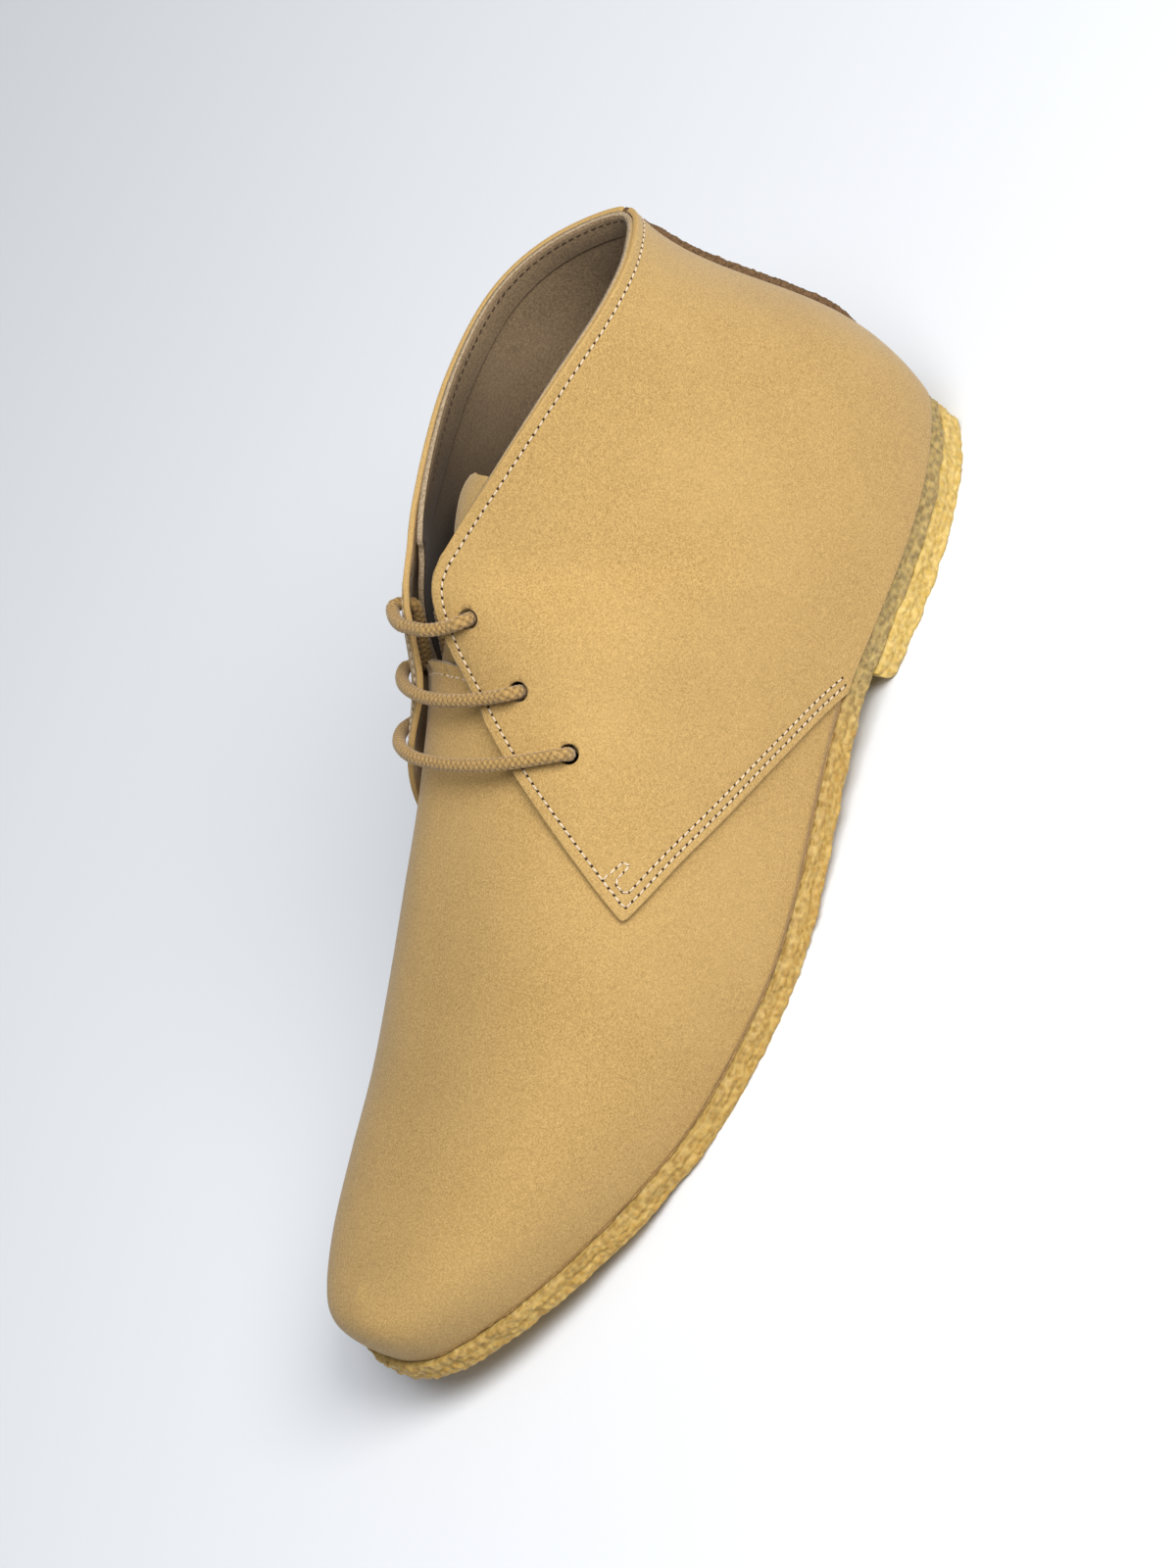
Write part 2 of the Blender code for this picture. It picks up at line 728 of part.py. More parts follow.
def build_tongue(parts, material):
    form = bmesh.new()
    columns = 6
    rows = []
    for row in TONGUE:
        value = dict(zip(TONGUE_COLUMNS, row))
        x = value["x"] * SOLE_LENGTH
        z = value["z"] * INSTEP_HEIGHT + height_at(x) + SOLE_THICKNESS + GAP
        rows.append((x, z, value["y"] * BALL_WIDTH, value["half_width"] * BALL_WIDTH, value["sag"] * BALL_WIDTH))
    grid = []
    for place in range((len(rows) - 1) * 2 + 1):
        read = []
        for position in range(len(rows[0])):
            values = [entry[position] for entry in rows]
            ends = (2 * values[0] - values[1], 2 * values[-1] - values[-2])
            read.append(along(values, place / 2, *ends))
        x, z, y, half, sag = read
        line = []
        for step in range(columns + 1):
            share = 2 * step / columns - 1
            line.append(form.verts.new((x - sag * share * share * 0.6, y + half * share, z - sag * share * share)))
        grid.append(line)
    for first, second in zip(grid, grid[1:]):
        for step in range(columns):
            form.faces.new((first[step], first[step + 1], second[step + 1], second[step]))
    bmesh.ops.recalc_face_normals(form, faces=form.faces)
    if sum((face.normal.z for face in form.faces)) < 0:
        bmesh.ops.reverse_faces(form, faces=form.faces)
    tongue = make_object("tongue", form, parts, material)
    add_wall(tongue, TONGUE_WALL, -1)
    return tongue


def seam_proud(share):
    """How far the raw edge stands past the quarters along the back."""
    return SEAM_PROUD * smooth_step((share - 0.16) / 0.16)


def build_back_seam(parts, material):
    form = bmesh.new()
    steps = 18
    loops = []
    for step in range(steps + 1):
        share = 0.01 + 0.985 * step / steps
        point = section_point(LAST_ROW, share, OUT)
        ahead = section_point(LAST_ROW, min(share + 0.01, 1.0), OUT) - section_point(LAST_ROW, share - 0.01, OUT)
        outward = Vector((-ahead.z, 0, ahead.x)).normalized()
        if outward.x > 0:
            outward.negate()
        inner = point + outward * GAP
        outer = point + outward * (GAP + QUARTER_WALL + seam_proud(share))
        half = Vector((0, SEAM_WIDTH / 2, 0))
        corners = (inner - half, inner + half, outer + half * 0.8, outer - half * 0.8)
        loops.append([form.verts.new(corner) for corner in corners])
    for first, second in zip(loops, loops[1:]):
        for index in range(4):
            following = (index + 1) % 4
            form.faces.new((first[index], second[index], second[following], first[following]))
    form.faces.new(loops[0])
    form.faces.new(loops[-1])
    bmesh.ops.recalc_face_normals(form, faces=form.faces)
    return make_object("back_seam", form, parts, material)


def bend_points(hole, normal, toward, start, radius):
    """Points of a quarter turn out of a hole, from along the normal to a direction across it."""
    toward = (toward - normal * toward.dot(normal)).normalized()
    centre = hole + normal * start + toward * radius
    points = []
    for step in range(BEND_STEPS + 1):
        angle = math.pi / 2 * step / BEND_STEPS
        points.append(centre - toward * radius * math.cos(angle) + normal * radius * math.sin(angle))
    return points


def outside_bar(number, holes, first, second):
    """Lace from one hole over the instep to the hole across from it, close to the leather."""
    value = dict(zip(HOLE_COLUMNS, LACE_HOLES[number]))
    middle = []
    for step in range(1, BAR_STEPS):
        turn = first * (1 - 2 * step / BAR_STEPS)
        side = OUT if turn > 0 else IN
        share = 1 - (1 - value[side_name(side, "out", "in")]) * abs(turn)
        row = value["row"] - LACE_SAG * (1 - turn * turn)
        point, normal = surface_at(row, min(share, 0.98), side)
        lift = facing_lift(row, share) + GAP + QUARTER_WALL + LACE_DIAMETER / 2 + LACE_CLEAR
        middle.append(point + normal * lift)
    start, start_normal = holes[first][number]
    end, end_normal = holes[second][number]
    leave = bend_points(start, start_normal, middle[0] - start, LACE_RISE, LACE_BEND)
    enter = bend_points(end, end_normal, middle[-1] - end, LACE_RISE, LACE_BEND)
    return leave + middle + list(reversed(enter))


def inside_link(first, second):
    """Lace under the quarter from one hole to the next on the same side."""
    (start, start_normal), (end, end_normal) = first, second
    leave = bend_points(start, -start_normal, end - start, QUARTER_WALL + LACE_RISE, LACE_BEND)
    enter = bend_points(end, -end_normal, start - end, QUARTER_WALL + LACE_RISE, LACE_BEND)
    middle = [leave[-1].lerp(enter[-1], step / LINK_STEPS) for step in range(1, LINK_STEPS)]
    return leave + middle + list(reversed(enter))


def lace_path():
    """One lace: top bar, middle bar and low bar, with both ends hidden inside by the top holes."""
    holes = {side: hole_points(side) for side in SIDES}
    top, middle, low = 0, 1, 2
    start, start_normal = holes[OUT][top]
    path = [start - start_normal * LACE_TAIL, start - start_normal * LACE_TAIL / 2]
    path += outside_bar(top, holes, OUT, IN)
    path += inside_link(holes[IN][top], holes[IN][middle])
    path += outside_bar(middle, holes, IN, OUT)
    path += inside_link(holes[OUT][middle], holes[OUT][low])
    path += outside_bar(low, holes, OUT, IN)
    end, end_normal = holes[IN][low]
    path += bend_points(end, -end_normal, holes[IN][middle][0] - end, QUARTER_WALL + LACE_RISE, LACE_BEND)
    aside = Vector((0, -LACE_ASIDE, -LACE_ASIDE))
    under_middle = holes[IN][middle][0] - holes[IN][middle][1] * LACE_UNDER + aside
    under_top = holes[IN][top][0] - holes[IN][top][1] * LACE_UNDER + aside
    path += [path[-1].lerp(under_middle, 0.5) - end_normal * LACE_DIAMETER / 4, under_middle]
    path += [under_middle.lerp(under_top, 0.5), under_middle.lerp(under_top, 0.9)]
    return path


def build_lace(parts, material):
    curve = bpy.data.curves.new("lace", "CURVE")
    curve.dimensions = "3D"
    curve.bevel_depth = LACE_DIAMETER / 2
    curve.bevel_resolution = LACE_SIDES
    curve.use_fill_caps = True
    path = lace_path()
    spline = curve.splines.new("POLY")
    spline.points.add(len(path) - 1)
    for place, point in zip(spline.points, path):
        place.co = (*point, 1.0)
    curve.materials.append(material)
    lace = bpy.data.objects.new("lace", curve)
    parts.objects.link(lace)
    return lace


def centre_on_floor(pieces, cutters):
    """Hangs all objects on one empty that puts the middle of the finished boot over the origin."""
    bpy.context.view_layer.update()
    shapes = bpy.context.evaluated_depsgraph_get()
    corners = []
    for piece in pieces:
        if piece.type == "MESH":
            corners += [vertex.co.copy() for vertex in piece.evaluated_get(shapes).data.vertices]
    low = Vector(min(corner[axis] for corner in corners) for axis in range(3))
    high = Vector(max(corner[axis] for corner in corners) for axis in range(3))
    frame = bpy.data.objects.new("boot_frame", None)
    bpy.context.scene.collection.objects.link(frame)
    frame.location = (-(low.x + high.x) / 2, -(low.y + high.y) / 2, -low.z)
    for item in pieces + cutters:
        item.parent = frame


def main():
    clear_scene()
    parts = new_collection("desert_boot")
    cutters = new_collection("cutters")
    suede = make_material("suede", 0.95)
    crepe = make_material("crepe", 0.7)
    lining = make_material("lining", 0.9)
    cord = make_material("cord", 0.8)
    raw_edge = make_material("raw_edge", 0.9)
    pieces = [
        build_upper(parts, cutters, suede),
        build_quarter("quarter_lateral", OUT, parts, cutters, suede),
        build_quarter("quarter_medial", IN, parts, cutters, suede),
        build_outsole(parts, crepe),
        build_heel(parts, crepe),
        build_insole(parts, lining),
        build_tongue(parts, suede),
        build_back_seam(parts, raw_edge),
        build_lace(parts, cord),
    ]
    centre_on_floor(pieces, list(cutters.objects))


main()
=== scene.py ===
import math
from functools import lru_cache

import bmesh
import bpy
from mathutils import Matrix, Vector, noise
from mathutils.bvhtree import BVHTree
from mathutils.kdtree import KDTree


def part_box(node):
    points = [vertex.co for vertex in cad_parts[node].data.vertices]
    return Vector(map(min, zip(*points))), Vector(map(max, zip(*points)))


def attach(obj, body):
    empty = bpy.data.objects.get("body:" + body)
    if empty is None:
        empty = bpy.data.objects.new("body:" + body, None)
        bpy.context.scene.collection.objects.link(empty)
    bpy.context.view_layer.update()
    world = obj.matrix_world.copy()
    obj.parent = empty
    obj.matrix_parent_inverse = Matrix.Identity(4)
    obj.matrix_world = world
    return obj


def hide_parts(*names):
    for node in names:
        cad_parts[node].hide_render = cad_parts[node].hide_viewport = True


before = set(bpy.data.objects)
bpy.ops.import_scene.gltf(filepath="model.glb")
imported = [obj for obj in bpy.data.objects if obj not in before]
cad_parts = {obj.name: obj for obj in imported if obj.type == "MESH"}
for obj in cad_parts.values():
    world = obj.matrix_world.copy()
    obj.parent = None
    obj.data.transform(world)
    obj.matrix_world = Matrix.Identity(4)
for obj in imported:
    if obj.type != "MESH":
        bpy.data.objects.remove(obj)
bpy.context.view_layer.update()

print("left desert boot: frame loaded")

# the shoe's own frame: x from the back of the heel to the toe, y to the outer side, z up, in metres
lastSizes = {
    "soleLength": 0.295,
    "ballWidth": 0.095,
    "instepHeight": 0.079,
    "collarHeight": 0.1145,
    "heelHeight": 0.008,
    "toeSpring": 0.014,
    "soleThickness": 0.0065,
    "gap": 0.0003,
    "upperWall": 0.0014,
    "quarterWall": 0.0016,
    "facingLift": 0.0024,
}
outer = 1
inner = -1
lastRow = 17

# line where the upper meets the sole, toe to heel: shares of length, and of ball width outward and inward
footLine = (
    (0.9910, -0.100, -0.100),
    (0.9820, 0.032, -0.245),
    (0.9540, 0.137, -0.345),
    (0.8980, 0.262, -0.420),
    (0.8240, 0.368, -0.468),
    (0.7390, 0.450, -0.484),
    (0.6540, 0.494, -0.455),
    (0.5700, 0.503, -0.385),
    (0.4880, 0.470, -0.315),
    (0.4140, 0.420, -0.280),
    (0.3460, 0.380, -0.278),
    (0.2850, 0.356, -0.294),
    (0.2270, 0.342, -0.314),
    (0.1690, 0.322, -0.322),
    (0.1120, 0.280, -0.300),
    (0.0610, 0.210, -0.237),
    (0.0240, 0.118, -0.142),
    (0.0150, -0.020, -0.020),
)

# top line over toe and instep: x, z, y, turn, dive, reach, rise, lean out, lean in
ridgeLine = (
    (0.9520, 0.278, -0.095, 0.0, 10.0, 0.72, 0.74, 8.0, 8.0),
    (0.9490, 0.280, -0.095, 38.0, 8.0, 0.74, 0.74, 8.0, 8.0),
    (0.9380, 0.292, -0.095, 66.0, 5.0, 0.76, 0.74, 8.0, 8.0),
    (0.9080, 0.340, -0.095, 84.0, 2.0, 0.78, 0.74, 7.0, 7.0),
    (0.8580, 0.414, -0.095, 90.0, 0.0, 0.78, 0.74, 6.0, 6.0),
    (0.7920, 0.524, -0.095, 90.0, 0.0, 0.78, 0.74, 5.0, 5.0),
    (0.7150, 0.690, -0.095, 90.0, 0.0, 0.77, 0.73, 3.5, 5.0),
    (0.6330, 0.842, -0.090, 90.0, 0.0, 0.80, 0.75, 1.5, 7.0),
    (0.5640, 0.958, -0.083, 90.0, 0.0, 0.83, 0.76, 0.0, 11.0),
    (0.5080, 1.043, -0.078, 90.0, 0.0, 0.82, 0.74, 1.0, 14.0),
    (0.4600, 1.120, -0.084, 90.0, 3.0, 0.78, 0.68, 2.0, 15.0),
)

# collar from the front corner to the back:
# x, z out, z in, y out, y in, turn, dive, reach, rise, lean out, lean in
collarLine = (
    (0.4060, 0.880, 0.875, -0.074, -0.104, 90.0, 24.0, 0.49, 0.57, 3.0, 13.0),
    (0.3580, 0.938, 0.915, 0.010, -0.185, 86.0, 50.0, 0.43, 0.46, 4.0, 12.0),
    (0.2950, 0.978, 0.945, 0.118, -0.245, 88.0, 67.0, 0.39, 0.38, 6.0, 10.0),
    (0.2130, 0.990, 0.955, 0.196, -0.305, 92.0, 80.0, 0.36, 0.33, 8.0, 9.0),
    (0.1320, 0.965, 0.945, 0.208, -0.310, 100.0, 88.0, 0.35, 0.30, 11.0, 11.0),
    (0.0720, 0.928, 0.920, 0.136, -0.215, 122.0, 94.0, 0.34, 0.29, 15.0, 15.0),
    (0.0330, 0.892, 0.892, -0.020, -0.020, 180.0, 103.0, 0.33, 0.28, 28.0, 28.0),
)

# underside of the outsole along the length: x, share of the heel height, share of the toe spring
soleLine = (
    (0.000, 1.00, 0.00),
    (0.290, 1.00, 0.00),
    (0.350, 0.78, 0.00),
    (0.450, 0.36, 0.00),
    (0.520, 0.10, 0.00),
    (0.570, 0.00, 0.00),
    (0.690, 0.00, 0.00),
    (0.780, 0.00, 0.20),
    (0.880, 0.00, 0.56),
    (0.950, 0.00, 0.80),
    (1.010, 0.00, 1.02),
)

# free edge of the facings in plan: x, y out, y in
facingEdge = (
    (0.5950, 0.475, -0.520),
    (0.5680, 0.390, -0.400),
    (0.5400, 0.300, -0.300),
    (0.5140, 0.212, -0.235),
    (0.4800, 0.098, -0.185),
    (0.4520, 0.026, -0.172),
    (0.4310, -0.008, -0.172),
    (0.4120, -0.034, -0.176),
    (0.3950, -0.046, -0.184),
    (0.3780, -0.044, -0.192),
    (0.3500, -0.020, -0.170),
    (0.3000, 0.060, -0.100),
)

# front seam of a quarter in side view: x, z
frontSeam = (
    (0.5970, 0.612),
    (0.5250, 0.512),
    (0.4530, 0.356),
    (0.3800, 0.184),
    (0.3170, 0.027),
    (0.2500, -0.150),
)

# lace holes, top pair first: row along the last, share of the section out and in
laceHoles = (
    (10.90, 0.890, 0.860),
    (10.00, 0.780, 0.730),
    (8.95, 0.620, 0.560),
)


def ofSide(side, out, into):
    return out if side == outer else into


def cubic(p0, p1, p2, p3, share):
    square = share * share
    cube = square * share
    return 0.5 * (
        2 * p1
        + (p2 - p0) * share
        + (2 * p0 - 5 * p1 + 4 * p2 - p3) * square
        + (3 * p1 - p0 - 3 * p2 + p3) * cube
    )


# value of a list at a place with a fraction, on a smooth curve
def along(values, place, before, after):
    last = len(values) - 1
    index = min(int(math.floor(place)), last - 1)
    p0 = values[index - 1] if index > 0 else before
    p3 = values[index + 2] if index + 2 <= last else after
    return cubic(p0, values[index], values[index + 1], p3, place - index)


def smoothStep(value):
    value = min(max(value, 0.0), 1.0)
    return value * value * (3 - 2 * value)


def smoothLine(points, steps):
    vectors = [Vector(point) for point in points]
    chain = [2 * vectors[0] - vectors[1]] + vectors + [2 * vectors[-1] - vectors[-2]]
    result = []
    for index in range(1, len(chain) - 2):
        for step in range(steps):
            result.append(cubic(*chain[index - 1:index + 3], step / steps))
    result.append(vectors[-1])
    return result


# y of a line of (x, y) points at an x, carried on straight past its ends
def readLine(points, x):
    ordered = sorted(points)
    index = 0
    while index < len(ordered) - 2 and x > ordered[index + 1][0]:
        index += 1
    (x0, y0), (x1, y1) = ordered[index], ordered[index + 1]
    return y0 + (y1 - y0) * (x - x0) / (x1 - x0)


soleXs = [row[0] * lastSizes["soleLength"] for row in soleLine]
soleZs = [row[1] * lastSizes["heelHeight"] + row[2] * lastSizes["toeSpring"] for row in soleLine]
soleSlopes = [(soleZs[i + 1] - soleZs[i]) / (soleXs[i + 1] - soleXs[i]) for i in range(len(soleXs) - 1)]


def knotSlope(index):
    if index == 0:
        return soleSlopes[0]
    if index == len(soleXs) - 1:
        return soleSlopes[-1]
    before, after = soleSlopes[index - 1], soleSlopes[index]
    return 0.0 if before * after <= 0 else 2 * before * after / (before + after)


# height of the outsole's underside above the floor
@lru_cache(maxsize=None)
def soleHeight(x):
    place = min(max(x, soleXs[0]), soleXs[-1])
    index = 0
    while index < len(soleXs) - 2 and place > soleXs[index + 1]:
        index += 1
    span = soleXs[index + 1] - soleXs[index]
    share = (place - soleXs[index]) / span
    start, end = knotSlope(index) * span, knotSlope(index + 1) * span
    square, cube = share * share, share ** 3
    return (
        soleZs[index] * (2 * cube - 3 * square + 1)
        + start * (cube - 2 * square + share)
        + soleZs[index + 1] * (3 * square - 2 * cube)
        + end * (cube - square)
    )


# height of the last's own underside, on top of the crepe sheet
def boardHeight(x):
    return soleHeight(x) + lastSizes["soleThickness"] + lastSizes["gap"]


footXs = [row[0] for row in footLine]
footYs = {outer: [row[1] for row in footLine], inner: [row[2] for row in footLine]}


@lru_cache(maxsize=None)
def footPoint(row, side):
    x = along(footXs, row, footXs[1], footXs[-2]) * lastSizes["soleLength"]
    y = along(footYs[side], row, footYs[-side][1], footYs[-side][-2]) * lastSizes["ballWidth"]
    return Vector((x, y, boardHeight(x)))


def topTable(side):
    rows = []
    seat = lastSizes["heelHeight"] + lastSizes["soleThickness"] + lastSizes["gap"]
    for x, z, y, turn, dive, reach, rise, leanOut, leanIn in ridgeLine:
        x *= lastSizes["soleLength"]
        z = z * lastSizes["instepHeight"] + boardHeight(x)
        lean = ofSide(side, leanOut, leanIn)
        rows.append((x, y * lastSizes["ballWidth"], z, turn, dive, reach, rise, lean))
    for x, zOut, zIn, yOut, yIn, turn, dive, reach, rise, leanOut, leanIn in collarLine:
        y = ofSide(side, yOut, yIn) * lastSizes["ballWidth"]
        z = ofSide(side, zOut, zIn) * lastSizes["collarHeight"] + seat
        lean = ofSide(side, leanOut, leanIn)
        rows.append((x * lastSizes["soleLength"], y, z, turn, dive, reach, rise, lean))
    return rows


topRows = {side: topTable(side) for side in (outer, inner)}


@lru_cache(maxsize=None)
def topAt(row, side):
    rows = topRows[side]
    result = []
    for position in range(8):
        values = [entry[position] for entry in rows]
        before, after = values[1], values[-2]
        if position == 3:  # the turn keeps turning past both ends
            before, after = -values[1], 2 * values[-1] - values[-2]
        if position == 1:
            after = topRows[-side][-2][position]
        result.append(along(values, row, before, after))
    return result


# foot, its handle, the top's handle and the top of a section of the last
@lru_cache(maxsize=None)
def sectionCurve(row, side):
    foot = footPoint(row, side)
    x, y, z, turn, dive, reach, rise, lean = topAt(row, side)
    top = Vector((x, y, z))
    tall = top.z - foot.z
    wide = (Vector((foot.x, foot.y)) - Vector((top.x, top.y))).length
    turn, dive, lean = math.radians(turn), math.radians(dive), math.radians(lean)
    outward = Vector((math.cos(turn), side * math.sin(turn), 0))
    length = reach * (wide * abs(math.cos(dive)) + tall * abs(math.sin(dive)))
    topHandle = top + (outward * math.cos(dive) + Vector((0, 0, -math.sin(dive)))) * length
    upright = Vector((0, 0, 1)) + outDirection(row, side) * math.tan(lean)
    footHandle = foot + upright * rise * tall
    return foot, footHandle, topHandle, top


# flat direction straight out from the foot line
@lru_cache(maxsize=None)
def outDirection(row, side):
    if row < 0.05:
        return Vector((1, 0, 0))
    if row > lastRow - 0.05:
        return Vector((-1, 0, 0))
    ahead = footPoint(min(row + 0.05, lastRow), side) - footPoint(max(row - 0.05, 0), side)
    return (Vector((-ahead.y, ahead.x, 0)) * -side).normalized()


# point on the last's surface: row along it, share of the section from the foot line up, side
def lastPoint(row, share, side):
    foot, footHandle, topHandle, top = sectionCurve(row, side)
    rest = 1 - share
    return (
        foot * rest ** 3
        + footHandle * (3 * rest ** 2 * share)
        + topHandle * (3 * rest * share ** 2)
        + top * share ** 3
    )


def lastNormal(row, share, side):
    alongRow = lastPoint(min(row + 0.1, lastRow), share, side) - lastPoint(max(row - 0.1, 0), share, side)
    upSection = lastPoint(row, share + 0.02, side) - lastPoint(row, share - 0.02, side)
    return alongRow.cross(upSection).normalized() * side


# rows and shares over which the slack facings leave the instep, each as start and length
slackSpan = {"front": (7.2, 1.8), "back": (12.9, 2.4), "share": (0.25, 0.45)}


# how far the slack facings stand off the instep
def facingLift(row, share):
    front, back, up = slackSpan["front"], slackSpan["back"], slackSpan["share"]
    alongInstep = smoothStep((row - front[0]) / front[1]) * smoothStep((back[0] - row) / back[1])
    return lastSizes["facingLift"] * alongInstep * smoothStep((share - up[0]) / up[1])


# point on the quarter's outer surface
def quarterPoint(row, share, side):
    stand = lastSizes["gap"] + lastSizes["quarterWall"] + facingLift(row, share)
    return lastPoint(row, share, side) + lastNormal(row, share, side) * stand


# the frame's place of the shoe's own zero: along x from the insole, across from the back seam
insoleLow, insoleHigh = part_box("insole")
seamLow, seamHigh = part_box("back_seam")
footMiddle = (footPoint(0, outer).x + footPoint(lastRow, outer).x) / 2
shoeOrigin = Vector((
    (insoleLow.x + insoleHigh.x) / 2 - footMiddle,
    (seamLow.y + seamHigh.y) / 2 - footPoint(lastRow, outer).y,
    0,
))
print("shoe zero in the frame:", [round(value, 5) for value in shoeOrigin])


# materials


def addNode(tree, kind, inputs=None, **settings):
    node = tree.nodes.new(kind)
    for name, value in settings.items():
        setattr(node, name, value)
    for name, value in (inputs or {}).items():
        socket = node.inputs[name]
        if isinstance(value, bpy.types.NodeSocket):
            tree.links.new(value, socket)
        else:
            socket.default_value = value
    return node


def newGroup(name, inputs, outputs):
    tree = bpy.data.node_groups.new(name, "ShaderNodeTree")
    for socketName, kind, value in inputs:
        socket = tree.interface.new_socket(socketName, in_out="INPUT", socket_type=kind)
        socket.default_value = value
    for socketName, kind in outputs:
        tree.interface.new_socket(socketName, in_out="OUTPUT", socket_type=kind)
    return tree, tree.nodes.new("NodeGroupInput"), tree.nodes.new("NodeGroupOutput")


def startMaterial(name, roughness, sheen=0.0, specular=0.3):
    material = bpy.data.materials.new(name)
    material.use_nodes = True
    tree = material.node_tree
    shader = tree.nodes["Principled BSDF"]
    shader.inputs["Roughness"].default_value = roughness
    shader.inputs["Specular IOR Level"].default_value = specular
    shader.inputs["Sheen Weight"].default_value = sheen
    shader.inputs["Sheen Roughness"].default_value = 0.45
    place = addNode(tree, "ShaderNodeTexCoord").outputs["Object"]
    return material, tree, shader, place


def mixColours(tree, factor, first, second):
    mixer = addNode(tree, "ShaderNodeMix", data_type="RGBA")
    for index, value in ((0, factor), (6, first), (7, second)):
        if isinstance(value, bpy.types.NodeSocket):
            tree.links.new(value, mixer.inputs[index])
        else:
            mixer.inputs[index].default_value = value
    return mixer.outputs[2]


def scaled(tree, value, factor):
    return addNode(tree, "ShaderNodeMath", {0: value, 1: factor}, operation="MULTIPLY").outputs[0]


def summed(tree, first, second):
    return addNode(tree, "ShaderNodeMath", {0: first, 1: second}, operation="ADD").outputs[0]


# value mapped from a span to 0 and top
def ranged(tree, value, low, high, top=1.0):
    inputs = {"Value": value, "From Min": low, "From Max": high, "To Max": top}
    return addNode(tree, "ShaderNodeMapRange", inputs).outputs["Result"]


# grain of napped leather and crumbly rubber: a fine speckle, soft patches and a height
def buildGrainGroup():
    tree, given, result = newGroup(
        "grain",
        [
            ("Vector", "NodeSocketVector", (0, 0, 0)),
            ("Fine Scale", "NodeSocketFloat", 1500.0),
            ("Patch Scale", "NodeSocketFloat", 60.0),
        ],
        [("Speckle", "NodeSocketFloat"), ("Patch", "NodeSocketFloat"), ("Height", "NodeSocketFloat")],
    )
    place = given.outputs["Vector"]
    fine = addNode(tree, "ShaderNodeTexNoise", {
        "Vector": place, "Scale": given.outputs["Fine Scale"], "Detail": 3.0, "Roughness": 0.65,
    })
    middle = addNode(tree, "ShaderNodeTexNoise", {
        "Vector": place, "Scale": scaled(tree, given.outputs["Fine Scale"], 0.62), "Detail": 2.0,
        "Roughness": 0.6,
    })
    patch = addNode(tree, "ShaderNodeTexNoise", {
        "Vector": place, "Scale": given.outputs["Patch Scale"], "Detail": 3.0, "Roughness": 0.5,
    })
    mixed = summed(tree, fine.outputs["Fac"], middle.outputs["Fac"])
    tree.links.new(ranged(tree, mixed, 0.78, 1.22), result.inputs["Speckle"])
    tree.links.new(ranged(tree, patch.outputs["Fac"], 0.32, 0.68), result.inputs["Patch"])
    tree.links.new(mixed, result.inputs["Height"])
    return tree


grainGroup = buildGrainGroup()


# grain node with its scales set, laid out on the piece's own coordinates
def addGrain(tree, place, fineScale, patchScale):
    grain = addNode(tree, "ShaderNodeGroup", node_tree=grainGroup)
    tree.links.new(place, grain.inputs["Vector"])
    grain.inputs["Fine Scale"].default_value = fineScale
    grain.inputs["Patch Scale"].default_value = patchScale
    return grain


def addBump(tree, shader, height, distance, strength):
    bump = addNode(tree, "ShaderNodeBump", {"Height": height, "Distance": distance, "Strength": strength})
    tree.links.new(bump.outputs["Normal"], shader.inputs["Normal"])


suedeLook = {
    "light": (0.560, 0.375, 0.150, 1.0),
    "base": (0.520, 0.340, 0.125, 1.0),
    "dark": (0.300, 0.180, 0.058, 1.0),
    "fineScale": 3300.0,
    "patchScale": 26.0,
    "patch": 0.22,
    "sheen": 0.20,
    "creases": 3.0,
}
grainBump = (0.0002, 0.5)  # depth, strength


def buildSuede(name, look):
    material, tree, shader, place = startMaterial(name, 0.95, look["sheen"], 0.15)
    grain = addGrain(tree, place, look["fineScale"], look["patchScale"])
    nap = mixColours(tree, grain.outputs["Speckle"], look["dark"], look["base"])
    soft = scaled(tree, grain.outputs["Patch"], look["patch"])
    napped = mixColours(tree, soft, nap, look["light"])
    if "deep" in look:  # painted shade: the lining is darkened toward the front of the opening, where the outer quarter shades it
        front = addNode(tree, "ShaderNodeSeparateXYZ", {"Vector": place}).outputs["X"]
        napped = mixColours(tree, ranged(tree, front, *look["deepSpan"]), napped, look["deep"])
    tree.links.new(napped, shader.inputs["Base Color"])
    creases = scaled(tree, grain.outputs["Patch"], look["creases"])
    addBump(tree, shader, summed(tree, creases, grain.outputs["Height"]), *grainBump)
    return material


crepeLook = {
    "honey": (0.400, 0.235, 0.046, 1.0),
    "pale": (0.590, 0.420, 0.140, 1.0),
    "grey": (0.255, 0.185, 0.072, 1.0),
    "brown": (0.230, 0.125, 0.032, 1.0),
    "fineScale": 900.0,
    "patchScale": 260.0,
    "crumbScale": 560.0,
    "crumbEdges": (0.25, 0.75, 0.55),
    "pits": (0.35, 0.0, 0.30),
    "crumbRelief": -1.4,
    "bump": (0.0004, 0.8),
    "glow": 0.25,
    "glowReach": (0.004, 0.002, 0.0007),
}
liftLook = {**crepeLook, "honey": (0.560, 0.370, 0.080, 1.0), "pale": (0.720, 0.540, 0.210, 1.0)}


